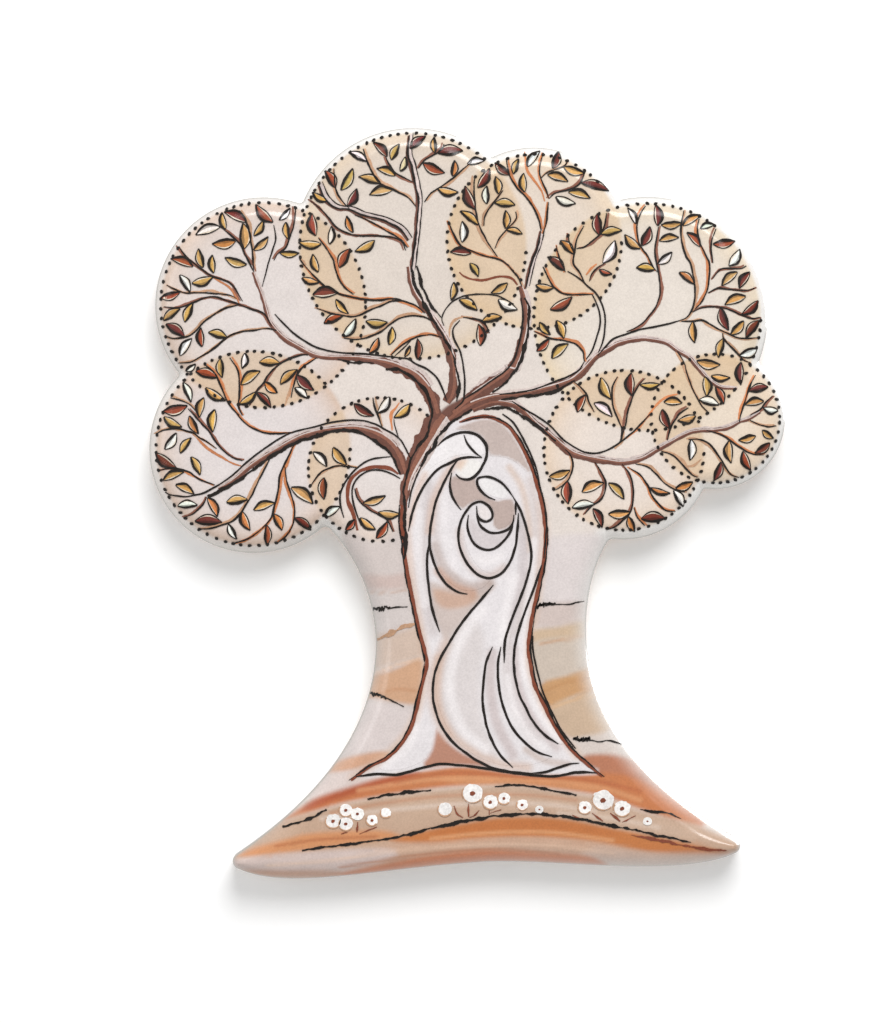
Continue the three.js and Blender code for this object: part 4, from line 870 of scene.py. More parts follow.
# Washes: colour, softness in mm, strength, and the patch they cover.
WASHES = [
    # crown foot and the strips of land on either side of the trunk
    ((211, 199, 194), 0.8, 1.0, "-14 -3, -10 -4.2, -6.6 -2.4, -5.8 -10, -4.8 -16, -5.2 -22, -8 -27, "
        "-12 -30, -18 -31, -14 -24, -12 -15"),
    ((205, 183, 175), 0.4, 0.9, "-13 -7.6, -9 -7.9, -5.9 -7.5, -5.9 -9, -9 -9.4, -13 -9.3"),
    ((213, 203, 199), 0.5, 0.8, "-13 -10, -6 -10, -5.6 -13, -8 -13.6, -13 -14.4"),
    ((208, 180, 158), 0.5, 0.7, "-13 -15, -8 -14.2, -4.8 -13.4, -4.6 -16.4, -8 -17.6, -13 -18.6"),
    ((208, 160, 122), 0.35, 0.9, "-12 -19.4, -8 -18.2, -5 -17, -5 -19.6, -5.6 -22, -10.6 -21.2, -12 -20.8"),
    ((219, 207, 204), 0.5, 0.9, "-13 -22, -6 -22.8, -7.4 -26, -9.4 -27.2, -14.5 -26.8"),
    ((212, 160, 126), 0.35, 0.9, "-16 -29.2, -13.4 -28, -9.6 -27.2, -8.3 -27.6, -10.4 -28.6, -15.4 -29.8"),
    ((221, 205, 199), 0.4, 0.9, "-17 -30, -12 -29.4, -9 -29, -9.4 -30, -13 -31.2, -17.6 -32.4"),
    ((214, 203, 200), 0.8, 1.0, "7.6 -2, 10 -4, 15 -4, 14 -12, 13.6 -20, 17 -28, 14 -29, 10.5 -25.6, "
        "7.8 -21, 7 -16, 8.2 -9"),
    ((224, 214, 212), 0.5, 0.8, "8.8 -4, 15 -4, 14 -10, 8 -10"),
    ((209, 191, 183), 0.4, 0.8, "7.8 -11.2, 14 -10.9, 14 -12.8, 7.4 -13.4"),
    ((206, 178, 146), 0.4, 0.9, "7.2 -13.9, 10 -13.5, 14 -12.8, 14 -14.8, 7 -15.3"),
    ((205, 189, 173), 0.4, 0.9, "7 -15.4, 14 -14.8, 14 -18, 8 -19.6"),
    ((201, 152, 102), 0.35, 0.95, "8 -19.9, 11 -18.9, 14 -18.1, 14.4 -20.6, 11.6 -21.2, 9 -22.4"),
    ((203, 174, 144), 0.4, 0.9, "9.2 -22.3, 14.6 -20.8, 16 -24.6, 11.4 -25.8"),
    ((218, 205, 196), 0.4, 0.9, "11 -26.1, 16.6 -25.2, 18 -27.4, 13 -28.1"),
    ((184, 116, 82), 0.4, 0.95, "12.4 -27.9, 16 -27.6, 20 -29, 26 -34, 22 -33.6, 16.6 -31.2, 14.6 -30"),
    # near dunes
    ((200, 124, 78), 0.4, 1.0, "-19 -33.8, -16.5 -32.4, -13 -31.3, -9 -30.1, -4 -29.2, 0 -28.9, 7 -29.8, "
        "12 -29.6, 18 -30, 24 -33.2,"
     " 26 -35.6, 19 -33.6, 15 -32.2, 10 -31.4, 5 -30.9, 0 -31, -4.5 -31.4, -11 -32.4, -15.5 -33.4, "
         "-20.8 -35.2"),
    ((176, 84, 50), 0.5, 0.95, "-17 -32.6, -13 -31.2, -9 -30.1, -5 -29.5, -9 -31, -14 -32.4, -18 -33.8"),
    ((216, 158, 112), 0.3, 0.5, "-3 -30.2, 2 -30, 8 -30.7, 14 -31.2, 14 -31.6, 6 -31, 0 -30.9"),
    # meadow and foot
    ((198, 166, 142), 0.4, 1.0, "-21 -35.2, -15.5 -33.5, -11 -32.5, -4.5 -31.6, 0 -31.2, 5 -31, 10 -31.6, "
        "15 -32.4, 19 -33.8, 26 -35.6,"
     " 30 -38.6, 14 -38.8, 2 -38.2, -8 -39.6, -27 -41, -26 -39"),
    ((206, 176, 152), 0.8, 0.45, "-8 -32.4, 2 -31.6, 14 -32.8, 10 -33.8, 0 -34.2, -8 -35.2"),
    ((208, 180, 158), 0.6, 0.6, "14 -33, 24 -35.6, 26 -37, 14 -35"),
    ((214, 146, 97), 0.4, 0.95, "-24 -38, -20 -36.9, -17 -36.2, -10 -35.9, -7.6 -36.6, -12 -37.3, "
        "-18 -38.1, -25 -38.9"),
    ((201, 164, 140), 0.5, 0.9, "-10 -37.6, -2 -36.9, 8 -36.6, 18 -37.6, 28 -38.6, 12 -39.2, 2 -38.6, "
        "-8 -39.8, -14 -40"),
    ((196, 118, 60), 0.35, 0.95, "-8.5 -37, -4 -35.8, 0 -35.1, 4 -34.5, 10 -34.6, 16 -35.7, 24.6 -37.4, "
        "29 -38.6, 22 -38.5, 18 -37.9,"
     " 14 -37.1, 8 -36.6, 2 -36.7, -4 -37.2"),
    ((190, 112, 60), 0.4, 0.6, "-4 -36.2, 0 -35.3, 5 -34.8, 11 -35, 17 -36.4, 11 -36, 4 -35.8, -1 -36.4"),
    ((211, 193, 187), 0.4, 0.9, "-26 -39.2, -18 -38.3, -9 -37.9, -8 -38.8, -14 -40.3, -24 -40.6"),
    ((206, 179, 163), 0.5, 0.8, "14 -37.8, 20 -38.4, 29 -38.6, 25 -40.4, 13 -39.6"),
    ((206, 118, 64), 0.35, 1.0, "-20 -41.8, -12 -40.2, -8 -39.4, -4 -38.7, 2 -38.1, 8 -38.4, 14 -39, "
        "14 -41, -10 -41, -20 -43"),
    ((199, 145, 113), 0.4, 0.8, "-26 -40.4, -20 -40.4, -14 -40.5, -16 -42, -26 -42"),
    # the family inside the trunk
    ((231, 225, 226), 0.3, 1.0, "-6.8 0, -6.2 3.4, -4.4 7.2, -2.5 9, 0.8 9.4, 3.5 9.1, 5.5 7, 6.9 4.4, "
        "7.8 1.5, 8.5 -2, 8.2 -7,"
     " 7.2 -12, 6.9 -16, 7.6 -20.5, 9.5 -24.5, 12 -28, 14.5 -29.6, 7 -29.7, 0 -28.8, -6 -29.4, -12 -30, "
         "-8 -27.5, -5.9 -24,"
     " -4.7 -19, -5 -14, -6 -9, -6.8 -4"),
    ((197, 180, 173), 0.15, 1.0, "-1.3 8.3, 0.2 8.9, 1.8 9.3, 3.4 9, 4.8 7.7, 6 5.7, 7.1 3.2, 6 4.2, "
        "4.2 5.2, 2.4 5.4, 2.2 6.4, 1.4 7.6, 0 8.1"),
    ((190, 170, 162), 0.15, 1.0, "-2 2.8, -1.2 3.1, -0.1 2.6, 0.9 2.9, 1 2, 1.8 1, 3.3 0.3, 4.8 0.6, "
        "5.3 -0.6, 5.1 -2, 4 -2.8, 2.9 -2.6,"
     " 2.8 -0.9, 2.2 0, 1 0.4, -0.5 -0.5, -1.2 -0.1, -1.8 1.2"),
    ((241, 236, 236), 0.25, 0.9, "-4.6 4.7, -3.3 6.4, -1.4 7.5, 0 7.6, 1.3 7.1, 1.9 6, 1.6 5.2, 0 5.3, "
        "-2 4.8, -4 3.4, -5.4 1.8"),
    ((240, 236, 232), 0.15, 1.0, "-1.3 3.8, -0.8 4.8, 0.5 5, 1.5 4.7, 1.4 3.8, 0.7 3, -0.3 2.8, -1 3.1"),
    ((224, 178, 140), 0.3, 0.5, "-1.2 4, -0.9 4.8, 0 5, -0.2 4.4, -0.9 3.6"),
    ((236, 232, 231), 0.15, 1.0, "1.3 2.6, 2.1 2.9, 3.4 2.4, 4.4 1.4, 4.6 0.8, 3.6 0.7, 2.4 1, 1.5 1.7"),
    ((236, 227, 225), 0.15, 1.0, "1.2 -0.4, 1.9 -0.2, 2.6 -0.9, 2.4 -1.7, 1.7 -1.8, 1.2 -1.2"),
    ((212, 203, 203), 0.3, 0.9, "0.3 -1.2, 0.9 -2.2, 1.8 -3, 3.4 -3.2, 4.8 -2.4, 4.3 -4, 2.9 -4.9, "
        "1.5 -4.8, 0.5 -3.8, 0.1 -2.4"),
    ((204, 187, 179), 0.35, 0.9, "-4.2 -8.6, -2.6 -9, 0.4 -9.8, 2.8 -9.2, 0.2 -12, -2 -15.2, -3.3 -13.4, "
        "-4 -11"),
    ((206, 154, 118), 0.4, 0.55, "-3.8 -9.4, -1 -9.9, 1.2 -10.1, 0 -11.2, -2.8 -11.4"),
    ((186, 134, 112), 0.3, 1.0, "-3.4 -24.8, -2.4 -26, -0.6 -27.4, 2.4 -28.8, -1.5 -28.7, -4.9 -29, "
        "-4 -27.4, -3.6 -26"),
    ((219, 210, 208), 0.6, 0.8, "-3.4 -16.8, -1.4 -14, 0.6 -12.4, 1.8 -15, 1.4 -19, 1.6 -24, 3.4 -28, "
        "-0.4 -26.6, -3.3 -22"),
    ((238, 233, 233), 0.5, 0.8, "3.6 -12, 5 -16, 5 -20, 6.6 -24, 9.4 -27.2, 5.6 -25.2, 3.8 -21.4, 3.4 -16"),
]

# Soft shading and brush marks: colour, width, softness, strength, line.
SHADES = [
    ((178, 154, 142), 1.2, 0.5, 0.8, "-1.8 -8.4, 0.4 -9.3, 2.4 -8.8"),
    ((190, 172, 164), 0.9, 0.4, 0.7, "-3.6 -4.6, -2.8 -6.8, -1.4 -8.2"),
    ((198, 176, 164), 0.7, 0.3, 0.6, "6.4 -27, 8.4 -28.2, 11 -28.6"),
    ((112, 72, 60), 1.5, 0.2, 1.0, "-4.6 6.6, -3.2 8.8, -1.8 10.2, -0.4 10.9"),
    ((221, 158, 112), 0.5, 0.25, 0.7, "-12 -31.5, -4 -30.3, 6 -30.3, 14 -31.1, 19 -32.6"),
    ((182, 100, 62), 0.4, 0.2, 0.6, "-8 -30.6, -2 -29.6, 6 -30, 13 -30.3, 19 -31.6"),
    ((192, 128, 92), 0.35, 0.2, 0.5, "-15 -34, -9 -32.9, -2 -32.1, 6 -32, 12 -32.6"),
    ((225, 206, 192), 0.5, 0.25, 0.6, "-16 -34.6, -8 -33.6, 0 -33, 8 -33, 14 -33.8"),
    ((224, 204, 188), 0.45, 0.25, 0.6, "10 -34, 16 -34.6, 21 -35.6"),
    ((176, 102, 62), 0.35, 0.15, 0.6, "-21 -37.6, -16 -36.9, -10 -36.6"),
    ((226, 170, 124), 0.35, 0.2, 0.6, "-4 -36.8, 2 -36.2, 9 -36.1, 16 -37"),
    ((180, 112, 72), 0.3, 0.15, 0.6, "-14 -40, -8 -39, -2 -38.2, 4 -38, 10 -38.5"),
    ((230, 196, 170), 0.3, 0.2, 0.5, "-22 -39.8, -15 -39.2, -8 -38.2, 0 -37.6, 8 -37.5, 16 -38.4"),
    ((196, 160, 138), 0.25, 0.15, 0.5, "-12.6 -9.6, -9 -9.8, -6.4 -9.4"),
    ((200, 150, 112), 0.3, 0.15, 0.6, "8 -15.4, 10.6 -14.9, 13.2 -14.6"),
    ((188, 138, 92), 0.3, 0.15, 0.6, "8.4 -20.6, 11 -19.6, 13.6 -19"),
    ((222, 180, 138), 0.3, 0.15, 0.6, "9 -22.6, 11.6 -21.6, 14.4 -21"),
    ((196, 142, 104), 0.3, 0.15, 0.6, "-11 -21.4, -8 -20.4, -5.6 -20.6"),
    ((228, 190, 160), 0.3, 0.15, 0.6, "-10.8 -18.9, -8 -17.8, -5.2 -17"),
    ((222, 188, 164), 1.0, 0.5, 0.55, "8.2 0, 8.4 -3.4, 8 -7.6, 7.2 -12.4, 6.6 -16.4, 7.4 -20.4, 9.2 -24, "
        "12 -27.6"),
    ((222, 188, 164), 0.9, 0.5, 0.5, "-6.8 -1, -6.5 -5, -5.8 -10, -4.9 -15, -4.7 -19, -6 -24, -9 -27.8, "
        "-12.6 -30"),
    ((206, 170, 148), 1.2, 0.6, 0.5, "-2.4 -15.4, -3.7 -19.2, -3.5 -22.6, -2.2 -25.4"),
    ((200, 188, 186), 1.1, 0.6, 0.55, "-4.3 2, -4.6 -2, -4.9 -6.6, -4.5 -11, -3.8 -14"),
    ((204, 190, 188), 1.2, 0.6, 0.5, "6.2 -3, 6.4 -6.8, 5.6 -11, 4.6 -14.8, 4.4 -18.6, 5.2 -22, 7.4 -25.8"),
    ((206, 192, 188), 1.0, 0.5, 0.5, "-3.6 0, -3.4 -4.2, -2.2 -7.4, -0.4 -9, 1.8 -9.2"),
    ((204, 186, 178), 1.0, 0.5, 0.5, "7 2.6, 7.6 -1.4, 7.4 -5.8, 6.6 -10.2, 5.8 -14"),
    ((212, 178, 156), 1.0, 0.5, 0.6, "-3.2 -17, -3.3 -22, -1.4 -25.8, 3 -28.4, 6.6 -29"),
    ((200, 184, 182), 1.1, 0.4, 0.7, "2.7 -16.4, 2.5 -20, 3.2 -24, 5 -27.6"),
    ((206, 190, 188), 0.9, 0.4, 0.7, "5.4 -16, 5.6 -20, 7.4 -24, 9.8 -26.8"),
    ((214, 180, 160), 0.9, 0.4, 0.6, "-1.2 4.7, -2.5 3, -3.7 0.4, -4.2 -3"),
    ((222, 190, 172), 0.8, 0.4, 0.6, "-4.7 3.2, -5.7 1, -6.3 -2"),
    ((200, 148, 116), 0.9, 0.4, 0.6, "-3.2 -7.4, -1.6 -9, 0.6 -9.8"),
    ((206, 186, 178), 0.8, 0.4, 0.6, "-0.9 -3, -0.5 -5.4, 0.8 -7.4, 2.4 -7.9, 4 -7"),
    ((214, 186, 166), 0.7, 0.35, 0.6, "4.6 4, 5.9 2, 6.6 -1, 6.9 -5"),
    ((206, 196, 196), 0.8, 0.35, 0.7, "5.7 -1, 6.1 -4, 5.9 -8, 5 -12"),
    ((243, 237, 237), 0.8, 0.4, 0.6, "-5.3 -1, -5.3 -6, -4.7 -11"),
    ((243, 237, 237), 0.9, 0.4, 0.3, "-2.6 0.6, -2.5 -3.4, -1.4 -6.8"),
    ((243, 237, 237), 1.0, 0.5, 0.8, "1.6 -11.6, -1 -15.6, -1.9 -20.4, -0.6 -24.6, 2 -27"),
    ((243, 237, 237), 0.9, 0.4, 0.8, "5.2 -8, 4.2 -12, 3.9 -15"),
    ((243, 237, 237), 0.7, 0.3, 0.8, "7.3 -4, 6.9 -9, 6.1 -14, 6.1 -18, 7.6 -22.4, 10 -26"),
    ((243, 237, 237), 0.6, 0.3, 0.8, "4.4 -19, 5 -22, 6.4 -24.8, 8.4 -27"),
    ((243, 237, 237), 0.8, 0.4, 0.7, "-5.6 -24.6, -6.6 -26.8, -9 -28.8"),
    ((243, 237, 237), 0.8, 0.4, 0.7, "0.8 -6, 2 -6.4, 3.6 -5.8"),
]

# Strokes of the landscape: kind, width, points.
LAND = [
    ("ink", 0.24, "-18.2 -38.1, -14 -37.5, -11.5 -37.2, -9.3 -36.9, -6 -36.2, -3 -35.4, 0 -34.9"),
    ("ink", 0.28, "-4 -35.7, 0 -34.9, 2 -34.5, 4 -34.2, 7 -34.1, 10 -34.3, 13 -34.8, 16 -35.4, 20 -36.2"),
    ("ink", 0.24, "19 -36, 22 -36.7, 24.6 -37.2"),
    ("rust", 0.3, "18 -36.4, 22 -37.2, 25.6 -37.9, 28.5 -38.2"),
    ("ink", 0.3, "-20.4 -35.5, -18.6 -35, -16.8 -34.3, -15.5 -33.6"),
    ("ink", 0.26, "-11 -32.5, -8 -31.9, -4 -31.5"),
    ("ink", 0.24, "3 -31.1, 6 -31, 9.5 -31.5, 12 -32"),
    ("ink", 0.24, "19 -33.6, 22 -34, 23.5 -34.6"),
    ("tan", 0.4, "-10 -14.9, -8.4 -14.2, -5.8 -13.2"),
    ("ragged", 0.42, "-10.6 -11.6, -9.6 -11.5, -8.6 -11.4"), ("ink", 0.13, "-8.8 -11.5, -7.7 -11.4, "
        "-6.6 -11.3"),
    ("ragged", 0.34, "-10.7 -20.8, -9.9 -21, -9 -21.3"), ("ink", 0.13, "-9.2 -21.2, -8 -21.8, -7 -22.3"),
    ("ragged", 0.5, "7.6 -11.2, 8.5 -11.1, 9.6 -11"), ("ink", 0.16, "9.4 -11, 11.2 -11, 12.9 -10.7"),
    ("ragged", 0.5, "11.7 -25.8, 12.6 -25.9, 13.4 -25.8"), ("ink", 0.2, "13.2 -25.9, 14.4 -26.1, 15.6 -26, "
        "17 -26.5"),
    ("rust", 0.2, "-12.1 -35, -12.15 -36.1"), ("rust", 0.16, "-13.9 -36.3, -13.2 -36.1"),
    ("rust", 0.16, "-11.9 -36.3, -11 -35.9, -10 -35.5"), ("rust", 0.2, "0.1 -33, 0.1 -34.4"),
    ("rust", 0.16, "-1.5 -33.2, -1.2 -34, -0.5 -34.5"), ("rust", 0.16, "1.3 -33.7, 0.8 -34.2, 0.2 -34.5"),
    ("rust", 0.16, "2.4 -33.6, 2.4 -34.2"), ("rust", 0.16, "2.5 -34, 3.7 -33.6"),
    ("rust", 0.16, "11.5 -34.2, 12.5 -34.6"), ("rust", 0.16, "13.7 -34, 14.9 -34.9"),
    ("rust", 0.16, "15.7 -34, 16.8 -34.9"), ("rust", 0.16, "17 -35, 18.5 -34.3"),
]

# Flower heads: place, radius; the plain ones carry no heart.
FLOWERS = {
    "flower_left_1": "-14.8 -34.9 0.85", "flower_left_2": "-13.4 -33.7 0.75",
        "flower_left_3": "-13.4 -35.2 0.8",
    "flower_left_4": "-10.5 -34.8 0.65", "flower_left_5": "-9 -34 0.6", "flower_middle_1": "-2.5 -33.6 0.8",
    "flower_middle_2": "0.55 -31.85 1.15", "flower_middle_3": "2.5 -32.8 0.85",
        "flower_middle_4": "4 -32.4 0.7",
    "flower_middle_5": "6 -33.1 0.65", "flower_right_1": "12.9 -33.4 0.75",
        "flower_right_2": "14.9 -32.6 1.2",
    "flower_right_3": "17 -33.5 0.95",
}
SMALL_FLOWERS = "-12.1 -34.1 0.75, 7.9 -33.6 0.45, 19.8 -34.9 0.5"
PLAIN_FLOWERS = ("flower_left_5", "flower_middle_1")

FIGURES = {
    "niche_upper": "-1.2 8.25, 0.2 8.7, 1.2 9, 3.2 8.8, 4.6 7.5, 5.8 5.5, 6.6 3.6, 5.2 4.7, 3.8 5.2, "
        "2.6 5.3, 2.3 6.5, 1.3 7.7, 0 8.15",
    "niche_lower": "-1.9 2.9, -0.1 2.2, 0.7 2.4, 1.3 1.2, 2.8 0.3, 4.5 0.1, 4.8 -1, 4.5 -2.2, 3.2 -2.6, "
        "3 -0.9, 2.3 0, 1 0.5,"
                   " -0.6 -0.6, -1.7 0.8",
    "father_hood": "-4.6 4.7, -3.3 6.6, -1.4 7.6, 0 7.7, 1.3 7.2, 1.9 6, 1.7 5.4, 0 5.5, -2 5.1, -4 4, "
        "-5 2.7, -5.7 1.8, -5.4 3",
    "father_face": "-1.5 3.8, -0.9 4.8, 0.6 5, 1.5 4.7, 1.3 3.8, 0.6 3, -0.3 2.75, -1.1 3.1",
    "mother_face": "1.4 2.6, 2.2 2.75, 3.6 2, 4.4 1.1, 4 0.6, 3 0.75, 1.8 1.5",
    "child_head": "1.3 -0.2, 2 -0.3, 2.6 -1, 2.3 -1.7, 1.6 -1.6, 1.3 -1",
    "child_wrap": "0.3 -1.2, 0.9 -2.2, 1.8 -3.1, 3.4 -3.3, 4.6 -2.9, 4.2 -4, 2.9 -4.8, 1.6 -4.7, 0.5 -3.6, "
        "0 -2.3",
    "father_sleeve": "-2.3 2.4, -2.1 0.6, -1.1 -1.3, -1 -3.5, -0.2 -5.8, 1 -7.4, 2.6 -8, 1.4 -9.3, "
        "-0.6 -9.4, -2.6 -7.9,"
                     " -3.8 -5.2, -4 -2.5, -3.4 0.2",
    "father_cloak": "-5.6 1, -4.4 1.6, -4.5 -1.5, -4.9 -6, -4.5 -11, -3.6 -14.5, -3.1 -15.2, -4.1 -18.5, "
        "-4.3 -22, -3.8 -25.6,"
                    " -4.4 -27.8, -7 -29.1, -9.6 -29, -6.4 -26.3, -4.7 -22.3, -4.25 -18, -4.8 -13.8, "
                        "-5.6 -9, -6.2 -4, -6.1 -0.8",
    "mother_wrap": "4.9 -3.2, 5 -2.6, 4.7 -5, 3.6 -7.1, 2.5 -7.6, 1.2 -6.9, 0.2 -5.4, -0.4 -3.6, -0.3 -2.4, "
        "0.2 -4, 1.4 -5.2,"
                   " 2.8 -5.2, 4.2 -4.3",
    "mother_veil": "2.6 4.7, 4 4.5, 5.6 3.6, 7 1.2, 7.8 -2, 7.8 -6, 7 -10.5, 6.4 -15, 7 -19, 8.4 -22.6, "
        "10.6 -26.4, 7.4 -24.6,"
                   " 5.4 -20.5, 5.2 -16.5, 6.1 -12, 7 -7.8, 6.6 -3, 5.6 -0.2, 4.4 2, 2.8 3.4",
    "mother_robe": "5.3 -3.8, 6.1 -3.2, 6.5 -7, 5.6 -11, 4.6 -15.5, 4.7 -20.5, 6.4 -24.6, 9.4 -27.4, "
        "6.8 -28.7, 3.4 -28.6,"
                   " 0.2 -27.2, -2.2 -24.6, -3.4 -20.8, -2.7 -17.4, -0.4 -13.4, 2.4 -10, 4.2 -7.4",
}

# ---- washes on the glaze --------------------------------------------------------------------------
CROWN_BASE = (227, 216, 208)
MIDDLES = [(224, 216, 216), (224, 215, 212), (221, 209, 198), (228, 213, 198), (230, 220, 209),
    (233, 216, 195),
           (233, 220, 210), (228, 219, 216)]
RIMS = [(214, 184, 160), (218, 190, 168), (222, 198, 168), (228, 200, 164), (229, 206, 170), (233, 204, 170),
        (229, 203, 176), (226, 203, 184)]
LENS = (216, 186, 150)
# White of the unprinted glaze, also laid on the shoulder as a painted highlight.
BARE_GLAZE_AND_HIGHLIGHT = (250, 247, 243)
# Grey of the painted shade line along the very edge of the silhouette.
EDGE_SHADE = (190, 187, 174)


def paint_spots(spots):
    """Washed colour of the print at each (x, z), with a painted highlight on the shoulder and a painted dark
    line of shade at the very edge.
    """
    canvas = Canvas(spots, CROWN_BASE)
    cover = np.zeros(len(spots))
    above = smoothstep((spots[:, 1] + 6.5) / 2)
    for (x, z, r), mid, rim in zip(RINGS, MIDDLES, RIMS):
        inner = r - np.hypot(spots[:, 0] - x, spots[:, 1] - z)
        index = np.nonzero(inner > -0.4)[0]
        full = smoothstep(0.5 + inner[index] / 0.5)
        canvas.blend(index, mid, 0.75 * full)
        canvas.blend(index, rim, 0.9 * full * np.exp(-np.maximum(inner[index], 0) / 1.9))
        cover[index] += full
    lens = np.clip(cover - 1, 0, 1)
    canvas.blend(slice(None), LENS, 0.62 * lens * above)
    depth, width = edge_distance(spots)
    bare = (1 - np.clip(cover, 0, 1)) * above * smoothstep((2.2 - depth) / 1.2)
    # The white margin is made stronger towards the right: painted highlight where the light falls.
    side = smoothstep((spots[:, 0] + 30) / 20) * 0.6 + 0.35
    canvas.blend(slice(None), BARE_GLAZE_AND_HIGHLIGHT, bare * side)
    for colour, soft, amount, text in WASHES:
        canvas.wash(text, colour, soft, amount)
    for colour, wide, soft, amount, text in SHADES:
        canvas.brush(text, wide, colour, soft, amount)
    # Painted highlight: the sloping shoulder is whitened, more on the right and less at the bottom.
    turn = np.clip(1 - depth / width, 0, 1)
    highlight_share = smoothstep((spots[:, 0] + 20) / 34) * (0.4 + 0.6 * smoothstep((spots[:, 1] + 36) / 6))
    canvas.blend(slice(None), BARE_GLAZE_AND_HIGHLIGHT, 0.8 * turn ** 2 * (0.15 + 0.85 * highlight_share))
    # Painted shade: a dark line along the outermost 0.2 mm of the edge.
    canvas.blend(slice(None), EDGE_SHADE, 0.75 * smoothstep((0.2 - depth) / 0.16))
    return canvas.colour


def paint_front(verts):
    colour = paint_spots(verts[:, [0, 2]])
    wall = smoothstep((verts[:, 1] + WALL + 0.2) / 1.2).reshape(-1, 1)
    return colour * (1 - wall) + linear((240, 236, 230)) * wall


# ---- ink ------------------------------------------------------------------------------------------
INKS = {"ink": (24, 15, 8), "rust": (132, 68, 46), "orange": (204, 130, 84), "tan": (196, 154, 122),
    "light": (212, 196, 190),
        "bark": (110, 70, 58), "ember": (142, 92, 74),
        "gold": (212, 166, 96), "white": (246, 241, 236), "maroon": (120, 52, 40), "cream": (232, 208, 170),
        "leafrust": (166, 80, 48), "leaforange": (208, 134, 72)}
FILM_FOOT = -0.03
LIFTS = {"band": 0.05, "fill": 0.07, "line": 0.095, "edge": 0.12}


def wander(count, reach):
    """Slowly changing values, mostly between -1 and 1."""
    noise = RNG.normal(size=count + 2 * reach)
    kernel = np.hanning(2 * reach + 3)[1:-1]
    return np.convolve(noise, kernel / np.sqrt((kernel ** 2).sum()), "valid")[:count]


